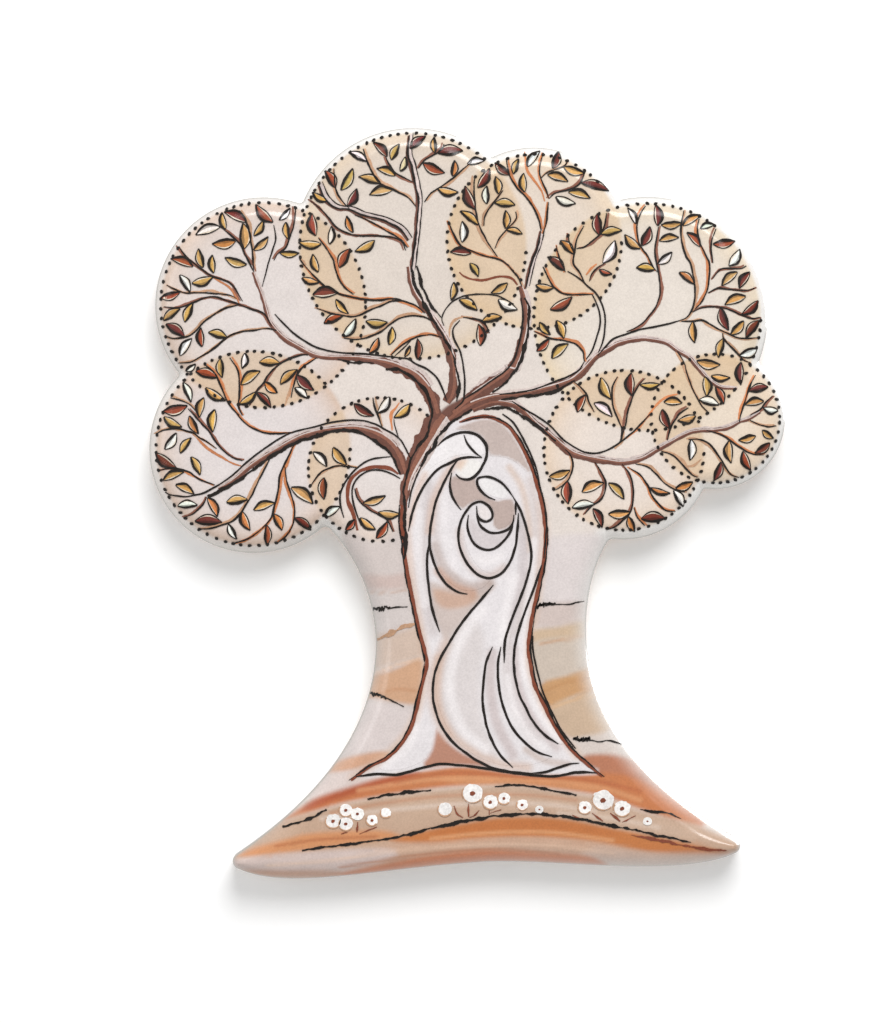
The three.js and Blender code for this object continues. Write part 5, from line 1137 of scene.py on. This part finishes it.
class Print:
    """Collects thin raised shapes that follow the glazed surface."""

    def __init__(self):
        self.spots, self.faces, self.colours, self.count = [], [], [], 0

    def add(self, spots, faces, colour):
        self.spots.append(spots)
        self.faces += [tuple(self.count + v for v in f) for f in faces]
        self.colours.append(np.tile(linear(colour), (len(spots), 1)) * (1 + 0.06 * RNG.normal()))
        self.count += len(spots)

    def ribbon(self, line, widths, colour, lift, rough=0.0, closed=False):
        line = np.asarray(line, float)[:, :2]
        n = len(line)
        if n < 2:
            return
        along = np.roll(line, -1, 0) - np.roll(line, 1, 0) if closed else np.gradient(line, axis=0)
        size = np.maximum(np.linalg.norm(along, axis=1), 1e-9)[:, None]
        normal = np.column_stack([-along[:, 1], along[:, 0]]) / size
        half = np.broadcast_to(np.asarray(widths, float) / 2, (n,))
        left = half * (1 + rough * (wander(n, 3) + 0.35 * RNG.normal(size=n)))
        right = half * (1 + rough * (wander(n, 3) + 0.35 * RNG.normal(size=n)))
        a = line + normal * np.maximum(left, 0.015)[:, None]
        b = line - normal * np.maximum(right, 0.015)[:, None]
        top = lift + 0.012 * RNG.random()
        section = [np.column_stack([p, np.full(n, h)]) for p,
            h in ((b, FILM_FOOT), (b, top), (a, top), (a, FILM_FOOT))]
        spots = np.stack(section, 1).reshape(-1, 3)
        faces = []
        for i in range(n if closed else n - 1):
            j = (i + 1) % n
            faces += [(4 * i + k, 4 * j + k, 4 * j + (k + 1) % 4, 4 * i + (k + 1) % 4) for k in range(4)]
        if not closed:
            faces += [(0, 1, 2, 3), (4 * n - 1, 4 * n - 2, 4 * n - 3, 4 * n - 4)]
        self.add(spots, faces, colour)

    def stroke(self, text, width, ink, lift=LIFTS["line"], rough=0.35, taper=0.5):
        line = spline(read(text) if isinstance(text, str) else text, 0.18)
        n = len(line)
        ends = np.minimum(np.arange(n), np.arange(n)[::-1]) / max(1, min(n / 2, 8))
        widths = line[:, 2] if line.shape[1] > 2 else width
        self.ribbon(line, widths * (1 - taper + taper * np.clip(ends, 0, 1)), INKS[ink], lift, rough)

    def disc(self, x, z, rx, rz, colour, lift, turn=0.0, points=14, uneven=0.08):
        angle = np.linspace(0, 2 * math.pi, points, endpoint=False)
        reach = 1 + uneven * RNG.normal(size=points)
        flat = np.column_stack([np.cos(angle) * rx * reach, np.sin(angle) * rz * reach])
        c, s = math.cos(turn), math.sin(turn)
        flat = flat @ np.array([[c, s], [-s, c]]) + (x, z)
        spots = np.concatenate([np.column_stack([flat, np.full(points, h)]) for h in (FILM_FOOT, lift)])
        faces = [(k, (k + 1) % points, points + (k + 1) % points, points + k) for k in range(points)]
        faces += [tuple(range(points, 2 * points)), tuple(range(points))[::-1]]
        self.add(spots, faces, colour)

    def leaf(self, a, b, colour, width=None):
        a, b = np.array(a), np.array(b)
        run = b - a
        length = np.linalg.norm(run)
        wide = (width or 0.37 * length) * (1 + 0.08 * RNG.normal())
        side = np.array([-run[1], run[0]]) / length
        t = np.linspace(0, 1, 13)
        bend = 0.08 * length * RNG.choice([-1, 1]) * np.sin(math.pi * t)
        line = a + run * t[:, None] + side * bend[:, None]
        half = wide / 2 * np.sin(math.pi * np.clip(t, 0.01, 0.99) ** 0.9)
        tint = np.clip(np.array(colour) + RNG.normal(size=3) * 4, 0, 255)
        heavy = RNG.choice([-1, 1])
        # pale under-leaf, the coloured part leaning on the heavy side, and a darker streak beside it
        self.ribbon(line, 1.9 * half, (236, 222, 202), LIFTS["fill"])
        self.ribbon(line + side * (heavy * 0.16 * half)[:, None], 1.5 * half, tint, LIFTS["fill"] + 0.012)
        self.ribbon(line + side * (heavy * 0.5 * half)[:, None], 0.5 * half, tint * 0.72,
            LIFTS["fill"] + 0.024, 0.2)
        for sign in (-1, 1):
            edge = spline(line + side * (sign * half)[:, None], 0.14)
            weight = 0.30 if sign == heavy else 0.15
            share = np.linspace(0, 1, len(edge))
            self.ribbon(edge, weight * (0.5 + 0.5 * np.sin(math.pi * share)), INKS["ink"], LIFTS["edge"],
                0.16)

    def build(self, name):
        spots = np.concatenate(self.spots)
        flat = spots[:, :2].copy()
        for _ in range(2):
            depth, _ = edge_distance(flat)
            index = np.array([TREE.find((p[0], p[1], 0))[1] for p in flat])
            flat += INWARD[index] * np.maximum(0.12 - depth, 0)[:, None]
        y = surface(flat) - spots[:, 2]
        verts = np.column_stack([flat[:, 0], y, flat[:, 1]])
        return make_object(name, verts, self.faces, np.zeros(len(self.faces), bool),
            np.clip(np.concatenate(self.colours), 0, 1))


def film_piece(name, text):
    """Thin even film with the washed colours of the print, over a rounded patch."""
    outline = spline(read(text), 0.25, True)
    lo, hi = outline.min(0), outline.max(0)
    gx, gz = np.meshgrid(np.arange(lo[0], hi[0], 0.25), np.arange(lo[1], hi[1], 0.25), indexing="ij")
    grid = np.column_stack([gx.ravel(), gz.ravel()])
    grid = grid[inside_polygon(grid, outline)]
    grid = grid[line_distance(grid, np.concatenate([outline, outline[:1]])) > 0.12]
    n = len(outline)
    made, _, tris, _, _, _ = delaunay_2d_cdt(
        [Vector(p) for p in np.concatenate([outline, grid])], [(i, (i + 1) % n) for i in range(n)], [], 1,
            1e-6)
    flat = np.array([tuple(p) for p in made])
    m = len(flat)
    spots = np.concatenate([np.column_stack([flat, surface(flat) - 0.03]),
        np.column_stack([flat, surface(flat) + 0.03])])
    verts = spots[:, [0, 2, 1]]
    front = [tuple(t) for t in tris]
    edges = {}
    for t in front:
        for a, b in zip(t, t[1:] + t[:1]):
            edges[(a, b)] = (a, b)
    rim = [e for e in edges if (e[1], e[0]) not in edges]
    faces = front + [tuple(m + v for v in reversed(t)) for t in front] + [(b, a, m + a, m + b) for a,
        b in rim]
    return make_object(name, verts, faces, np.zeros(len(faces), bool), np.tile(paint_spots(flat), (2, 1)))


# ---- clay back, magnets --------------------------------------------------------------------------

def clay_piece():
    """Biscuit core: back face with two round pockets, walls and shoulder under the glaze."""
    size = len(AT)
    flat_ring = ring(np.full(size, GLAZE + 0.15), 0.0)
    rings = [flat_ring, ring(np.full(size, GLAZE + 0.03), -0.08)]
    rings += shell_rings(GLAZE, 6)
    verts = np.concatenate(rings)
    faces = [f for k in range(len(rings) - 1) for f in strips(k * size, (k + 1) * size, size)]
    faces.append(tuple(range((len(rings) - 1) * size, len(rings) * size)))
    around = 72
    angle = np.linspace(0, 2 * math.pi, around, endpoint=False)
    points = [Vector((p[0], p[2])) for p in flat_ring]
    edges = [(i, (i + 1) % size) for i in range(size)]
    for z in MAGNET_HEIGHTS.values():
        start = len(points)
        points += [Vector((math.cos(t) * (POCKET_RADIUS + 0.1),
            z + math.sin(t) * (POCKET_RADIUS + 0.1))) for t in angle]
        edges += [(start + i, start + (i + 1) % around) for i in range(around)]
    made, _, tris, origin, _, _ = delaunay_2d_cdt(points, edges, [], 1, 1e-6)
    base = len(verts)
    verts = np.concatenate([verts, np.array([(p.x, 0.0, p.y) for p in made])])
    for t in tris:
        mid = sum((made[v] for v in t), Vector((0, 0))) / 3
        if all(math.dist(mid, (0, z)) > POCKET_RADIUS + 0.05 for z in MAGNET_HEIGHTS.values()):
            faces.append(tuple(base + v for v in reversed(t)))
    for z in MAGNET_HEIGHTS.values():
        profile = [(POCKET_RADIUS + 0.1, 0.0), (POCKET_RADIUS, -0.1), (POCKET_RADIUS, -POCKET_DEPTH + 0.15),
                   (POCKET_RADIUS - 0.15, -POCKET_DEPTH)]
        base = len(verts)
        verts = np.concatenate([verts] + [np.column_stack([np.cos(angle) * r, np.full(around, y),
            z + np.sin(angle) * r])
                                          for r, y in profile])
        for k in range(len(profile) - 1):
            faces += [(base + k * around + i, base + (k + 1) * around + i,
                base + (k + 1) * around + (i + 1) % around,
                       base + k * around + (i + 1) % around) for i in range(around)]
        faces.append(tuple(base + (len(profile) - 1) * around + i for i in range(around)))
    return make_object("clay_core", verts, faces, None)


def magnet_piece(name, z):
    around = 96
    angle = np.linspace(0, 2 * math.pi, around, endpoint=False)
    profile = [(0, -0.3), (4.6, -0.3), (4.85, -0.34), (4.97, -0.45), (5.0, -0.6), (5.0, -2.05),
        (4.95, -2.22), (4.8, -2.3), (0, -2.3)]
    rings = [np.column_stack([np.cos(angle) * r, np.full(around, y), z + np.sin(angle) * r]) for r,
        y in profile[1:-1]]
    verts = np.concatenate(rings)
    faces = [(k * around + i, k * around + (i + 1) % around, (k + 1) * around + (i + 1) % around,
        (k + 1) * around + i)
             for k in range(len(rings) - 1) for i in range(around)]
    faces += [tuple(range(around))[::-1], tuple((len(rings) - 1) * around + i for i in range(around))]
    smooth = [True] * (len(faces) - 2) + [False, False]
    return make_object(name, verts, faces, smooth)


# ---- materials -------------------------------------------------------------------------------------

class Nodes:
    def __init__(self, name):
        self.material = bpy.data.materials.new(name)
        self.material.use_nodes = True
        self.tree = self.material.node_tree
        self.shader = self.tree.nodes["Principled BSDF"]
        self.place = self.add("ShaderNodeTexCoord").outputs["Object"]

    def add(self, kind, **values):
        node = self.tree.nodes.new(kind)
        for key, value in values.items():
            setattr(node, key, value)
        return node

    def noise(self, scale, detail=4.0, rough=0.55):
        node = self.add("ShaderNodeTexNoise")
        node.inputs["Scale"].default_value = scale
        node.inputs["Detail"].default_value = detail
        node.inputs["Roughness"].default_value = rough
        self.tree.links.new(self.place, node.inputs["Vector"])
        return node.outputs["Fac"]

    def ramp(self, source, low, high, at=(0.0, 1.0)):
        node = self.add("ShaderNodeMapRange")
        for key, value in zip(("From Min", "From Max", "To Min", "To Max"), (at[0], at[1], low, high)):
            node.inputs[key].default_value = value
        self.tree.links.new(source, node.inputs["Value"])
        return node.outputs["Result"]

    def mix(self, kind, factor, a, b):
        node = self.add("ShaderNodeMix", data_type="RGBA", blend_type=kind)
        for key, value in ((0, factor), (6, a), (7, b)):
            if isinstance(value, (int, float, tuple)):
                node.inputs[key].default_value = value
            else:
                self.tree.links.new(value, node.inputs[key])
        return node.outputs[2]

    def grey(self, value):
        node = self.add("ShaderNodeCombineColor")
        for key in ("Red", "Green", "Blue"):
            self.tree.links.new(value, node.inputs[key])
        return node.outputs["Color"]

    def into(self, socket, output):
        self.tree.links.new(output, self.shader.inputs[socket])

    def bump(self, height, strength, distance):
        node = self.add("ShaderNodeBump")
        node.inputs["Strength"].default_value = strength
        node.inputs["Distance"].default_value = distance
        self.tree.links.new(height, node.inputs["Height"])
        self.into("Normal", node.outputs["Normal"])

    def set(self, **values):
        for key, value in values.items():
            self.shader.inputs[key.replace("_", " ")].default_value = value


def printed(name, grain, gloss=(0.12, 0.24), bump=0.08, coat=0.32):
    """Fired print under the glaze: painted colour, speckle of the transfer, soft uneven gloss."""
    n = Nodes(name)
    paint = n.add("ShaderNodeAttribute", attribute_name="paint").outputs["Color"]
    speckle = n.ramp(n.noise(4600, 2.0, 0.7), 1 - grain, 1 + grain, (0.32, 0.68))
    cloud = n.ramp(n.noise(420, 5.0, 0.6), 1 - grain * 0.6, 1 + grain * 0.6, (0.3, 0.7))
    n.into("Base Color", n.mix("MULTIPLY", 1.0, n.mix("MULTIPLY", 1.0, paint, n.grey(speckle)),
        n.grey(cloud)))
    n.into("Roughness", n.ramp(n.noise(900, 3.0), gloss[0], gloss[1], (0.3, 0.7)))
    n.bump(n.noise(160, 4.0, 0.5), bump, 0.0004)
    n.set(Coat_Weight=coat, Coat_Roughness=0.2, Specular_IOR_Level=0.3 + 0.4 * coat)
    return n.material


def clay_look():
    n = Nodes("biscuit_clay")
    tone = n.mix("MIX", n.ramp(n.noise(260, 6.0, 0.65), 0, 1, (0.3, 0.7)), (0.46, 0.27, 0.16, 1),
        (0.60, 0.39, 0.25, 1))
    dirt = n.ramp(n.noise(3000, 3.0, 0.7), 0.78, 1.08, (0.3, 0.65))
    n.into("Base Color", n.mix("MULTIPLY", 1.0, tone, n.grey(dirt)))
    n.into("Roughness", n.ramp(n.noise(700), 0.72, 0.95))
    n.bump(n.noise(1500, 8.0, 0.7), 0.5, 0.0002)
    return n.material


def magnet_look():
    n = Nodes("sintered_ferrite")
    tone = n.mix("MIX", n.ramp(n.noise(1800, 6.0, 0.7), 0, 1, (0.35, 0.7)), (0.025, 0.025, 0.028, 1),
        (0.075, 0.075, 0.08, 1))
    n.into("Base Color", tone)
    n.into("Roughness", n.ramp(n.noise(900, 4.0), 0.38, 0.7))
    n.bump(n.noise(4000, 6.0, 0.7), 0.3, 0.0001)
    n.set(Metallic=0.25)
    return n.material


def glue_look():
    n = Nodes("clear_glue")
    tone = n.mix("MIX", n.ramp(n.noise(500, 4.0), 0, 1, (0.3, 0.7)), (0.62, 0.53, 0.30, 1),
        (0.75, 0.68, 0.44, 1))
    n.into("Base Color", tone)
    n.into("Roughness", n.ramp(n.noise(600), 0.25, 0.5))
    n.bump(n.noise(350), 0.3, 0.0003)
    return n.material


# ---- building the pieces -----------------------------------------------------------------------------
LOOKS = {}


def finish_piece(piece, look, slot, *nodes):
    if look not in LOOKS:
        LOOKS[look] = {"glaze": lambda: printed("glazed_print", 0.07),
            "ink": lambda: printed("ink", 0.16, (0.2, 0.4), 0.05, 0.1),
                       "film": lambda: printed("film", 0.07), "clay": clay_look,
                       "magnet": magnet_look}[look]()
    piece.data.materials.append(LOOKS[look])
    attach(piece, "root")
    if nodes:
        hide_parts(*nodes)


finish_piece(glaze_piece(), "glaze", "glaze", "white_glaze", "print_crown_ground", "print_far_dunes",
    "print_near_dunes",
             "print_meadow", "print_sole_earth")
finish_piece(clay_piece(), "clay", "clay", "clay_body")
for level, height in MAGNET_HEIGHTS.items():
    finish_piece(magnet_piece("ferrite_" + level, height), "magnet", "ferrite", "magnet_" + level)
glue = glue_look()
for obj in bpy.context.scene.objects:
    if obj.type == "MESH" and obj.name.startswith("glue_"):
        obj.data.materials.clear()
        obj.data.materials.append(glue)


def quarter(x, z):
    if x < 0:
        return "left" if z < 19 and x < -10 else "top_left"
    return "right" if x > 12 and z < 24 else "top_right"


BOUGH_WIDTHS = {"rustline": 0.4, "thin": 0.2, "thick": 0.32, "light": 0.3}
HIGHLIGHT_START = 3.0
OUTER_SIDE = {"trunk_left": -1, "trunk_arch": 1}
# Layers of a bough: shift across and width as shares of the band, extra width, ink, extra lift.
BAND_LAYERS = [(0.55, 0.55, 0.3, "light", 0.0), (0.0, 1.1, 0.1, "bark", 0.012),
    (0.18, 0.4, 0.0, "ember", 0.024),
               (0.42, 0.12, 0.06, "light", 0.03)]
for part, strokes in BOUGHS.items():
    art = Print()
    for kind, text in strokes:
        if kind == "rust":
            band = spline(read(text), 0.3)
            slope = np.gradient(band[:, :2], axis=0)
            upper = np.column_stack([-slope[:, 1], slope[:, 0]]) / np.linalg.norm(slope, axis=1)[:, None]
            upper *= np.sign(upper @ (0.55, 0.83))[:, None]
            for shift, share, extra, ink, lift in BAND_LAYERS:
                layer = band.copy()
                layer[:, :2] += upper * (shift * band[:, 2])[:, None]
                layer[:, 2] = band[:, 2] * share + extra
                if ink == "light":
                    layer = layer[int(HIGHLIGHT_START / 0.3):]
                art.stroke(layer, 0, ink, LIFTS["band"] + lift, 0.12, 0.3)
        else:
            ink = {"rustline": "rust", "light": "light"}.get(kind, "ink")
            lift = LIFTS["band"] + 0.02 if kind == "rustline" else LIFTS["line"]
            art.stroke(text, BOUGH_WIDTHS[kind], ink, lift, 0.4 if kind == "thick" else 0.12)
            if kind == "rustline" and part in OUTER_SIDE:
                art.stroke(read(text) + (0.24 * OUTER_SIDE[part], 0), 0.17, "ink", LIFTS["line"], 0.35)
    finish_piece(art.build("art_" + part), "ink", "bark", "bark_" + part)

TWIG_WIDTHS = {"twig": 0.19, "line": 0.16, "dashed": 0.16, "thick": 0.22, "stem": 0.24, "orange": 0.26,
    "tan": 0.26, "rust": 0.26}
twig_art = {}
for kind, text in TWIGS:
    line = read(text)
    art = twig_art.setdefault(quarter(*line.mean(0)[:2]), Print())
    if kind in ("twig", "stem", "thick"):
        shift = 0.16 * (1 if RNG.random() < 0.5 else -1)
        smooth = spline(line, 0.5)
        beside = smooth + np.column_stack([wander(len(smooth), 3), wander(len(smooth), 3)]) * 0.06 + (shift,
            0.05)
        if kind == "twig":
            art.stroke(beside, 0.3, RNG.choice(["ember", "tan", "orange"]), LIFTS["band"], 0.2)
        else:
            art.stroke(smooth + (0.22, 0.16), 0.5, "light", LIFTS["band"], 0.1)
            art.stroke(smooth - (0.12, 0.08), 0.3, "bark", LIFTS["band"] + 0.012, 0.2)
            art.stroke(smooth + (0.42, 0.3), 0.13, "ink", LIFTS["line"], 0.3)
    ink = kind if kind in ("orange", "tan", "rust") else "ink"
    art.stroke(line, TWIG_WIDTHS[kind], ink, LIFTS["line"] if ink == "ink" else LIFTS["band"], 0.2)
for part, art in twig_art.items():
    finish_piece(art.build("art_twigs_" + part), "ink", "bark", "bark_twig_" + part)

leaf_art = {}
for tint, text in LEAVES.items():
    colour = INKS.get("leaf" + tint, INKS[tint])
    for pair in text.split(","):
        v = [float(s) for s in pair.split()]
        leaf_art.setdefault(quarter(v[0], v[1]), Print()).leaf(v[:2], v[2:4], colour,
            v[4] if len(v) > 4 else None)
for part, art in leaf_art.items():
    finish_piece(art.build("leaves_" + part), "ink", "petal")

dots = Print()
for x, z, r in RINGS:
    at = RNG.random()
    while at < 2 * math.pi:
        px, pz = x + r * math.cos(at), z + r * math.sin(at)
        deep, _ = edge_distance(np.array([[px, pz]]))
        behind = -6.9 < px < 8.4 and pz < 9
        if deep[0] > 0.35 and not behind:
            long = 0.2 + 0.05 * RNG.random()
            dots.disc(px, pz, long, 0.18, INKS["ink"], LIFTS["edge"], at + 1.6 + 0.5 * RNG.normal(), 10)
        at += (0.8 + 0.35 * RNG.random()) / r
finish_piece(dots.build("ring_dots"), "ink", "bark")

for part, text in FIGURES.items():
    finish_piece(film_piece("film_" + part, text), "film", "linen", part)

contours = Print()
for width, text in CONTOURS:
    contours.stroke(text, width * 0.92, "ink", LIFTS["line"], 0.1, 0.7)
finish_piece(contours.build("family_contours"), "ink", "bark")

# Sizes of a flower's dark heart as shares of the flower, and length of one dab of a ragged mark.
FLOWER_HEART = (0.26, 0.22)
SMALL_HEART = (0.24, 0.2)
DAB_LENGTH = 0.13
DAB_STEP = 0.16

land = Print()
for ink, width, text in LAND:
    if ink == "ragged":
        dabs = spline(read(text), DAB_STEP)
        for x, z in dabs:
            tall = width * (0.25 + 0.35 * RNG.random())
            land.disc(x, z + 0.08 * RNG.normal(), DAB_LENGTH, tall, INKS["ink"], LIFTS["line"],
                0.3 * RNG.normal(), 8, 0.2)
    else:
        land.stroke(text, width, ink, LIFTS["line"], 0.5)
for x, z, r in read(SMALL_FLOWERS):
    land.disc(x, z, r, r * 0.92, (244, 240, 236), LIFTS["edge"], 0, 20, 0.04)
    land.disc(x, z, r * SMALL_HEART[0], r * SMALL_HEART[1], INKS["rust"], LIFTS["edge"] + 0.02, 0, 10)
finish_piece(land.build("land_strokes"), "ink", "bark")

for part, text in FLOWERS.items():
    x, z, r = read(text)[0]
    flower = Print()
    flower.disc(x, z, r, r * 0.93, (245, 241, 238), LIFTS["fill"], 0.3, 24, 0.04)
    flower.ribbon([(x + math.cos(t) * r * 0.97, z + math.sin(t) * r * 0.9) for t in np.linspace(2.6, 5.6,
        14)], 0.12,
                  INKS["tan"], LIFTS["edge"], 0.3)
    if part not in PLAIN_FLOWERS:
        flower.disc(x, z, r * FLOWER_HEART[0], r * FLOWER_HEART[1], INKS["rust"], LIFTS["edge"], 0.5, 12)
    finish_piece(flower.build("head_" + part), "ink", "petal", part)

# ---- stage, light, camera ------------------------------------------------------------------------------
STAGE_Y = 0.0006


def stage_plane():
    mesh = bpy.data.meshes.new("backdrop")
    mesh.from_pydata([(-0.6, STAGE_Y, -0.6), (0.6, STAGE_Y, -0.6), (0.6, STAGE_Y, 0.6),
        (-0.6, STAGE_Y, 0.6)], [], [(0, 1, 2, 3)])
    obj = bpy.data.objects.new("backdrop", mesh)
    bpy.context.scene.collection.objects.link(obj)
    n = Nodes("pale_paper")
    n.set(Roughness=0.95, Specular_IOR_Level=0.1, Base_Color=(0.98, 0.98, 0.98, 1),
        Emission_Color=(1, 1, 1, 1), Emission_Strength=0.08)
    clear = n.add("ShaderNodeBsdfTransparent")
    choose = n.add("ShaderNodeMixShader")
    n.tree.links.new(n.add("ShaderNodeNewGeometry").outputs["Backfacing"], choose.inputs[0])
    n.tree.links.new(n.shader.outputs[0], choose.inputs[1])
    n.tree.links.new(clear.outputs[0], choose.inputs[2])
    n.tree.links.new(choose.outputs[0], n.tree.nodes["Material Output"].inputs["Surface"])
    mesh.materials.append(n.material)
    obj.visible_glossy = False
    obj.visible_shadow = False


def soft_light(name, place, size, power, aim=(0, 0, 0)):
    data = bpy.data.lights.new(name, "AREA")
    data.shape = "DISK"
    data.size = size
    data.energy = power
    obj = bpy.data.objects.new(name, data)
    obj.location = place
    obj.rotation_euler = (Vector(aim) - Vector(place)).to_track_quat("-Z", "Y").to_euler()
    bpy.context.scene.collection.objects.link(obj)


stage_plane()
soft_light("window", (0.12, -0.78, 0.5), 0.5, 5.35)
soft_light("fill", (-0.7, -0.55, 0.1), 0.5, 0.9)
soft_light("back_fill", (0.4, 0.8, 0.3), 0.6, 5.0)

world = bpy.data.worlds.new("pale_room")
world.use_nodes = True
world.node_tree.nodes["Background"].inputs["Color"].default_value = (1, 1, 1, 1)
world.node_tree.nodes["Background"].inputs["Strength"].default_value = 0.5
bpy.context.scene.world = world
bpy.context.scene.view_settings.view_transform = "Standard"

camera_data = bpy.data.cameras.new("camera")
camera_data.sensor_width = 36
camera_data.sensor_fit = "VERTICAL"
camera_data.sensor_height = 36
camera_data.lens = 260
FRAME_HEIGHT = 0.11253
camera = bpy.data.objects.new("camera", camera_data)
camera.location = (-0.00341, -0.007 - FRAME_HEIGHT * camera_data.lens / 36, -0.00083)
camera.rotation_euler = (math.pi / 2, 0, 0)
bpy.context.scene.collection.objects.link(camera)
bpy.context.scene.camera = camera
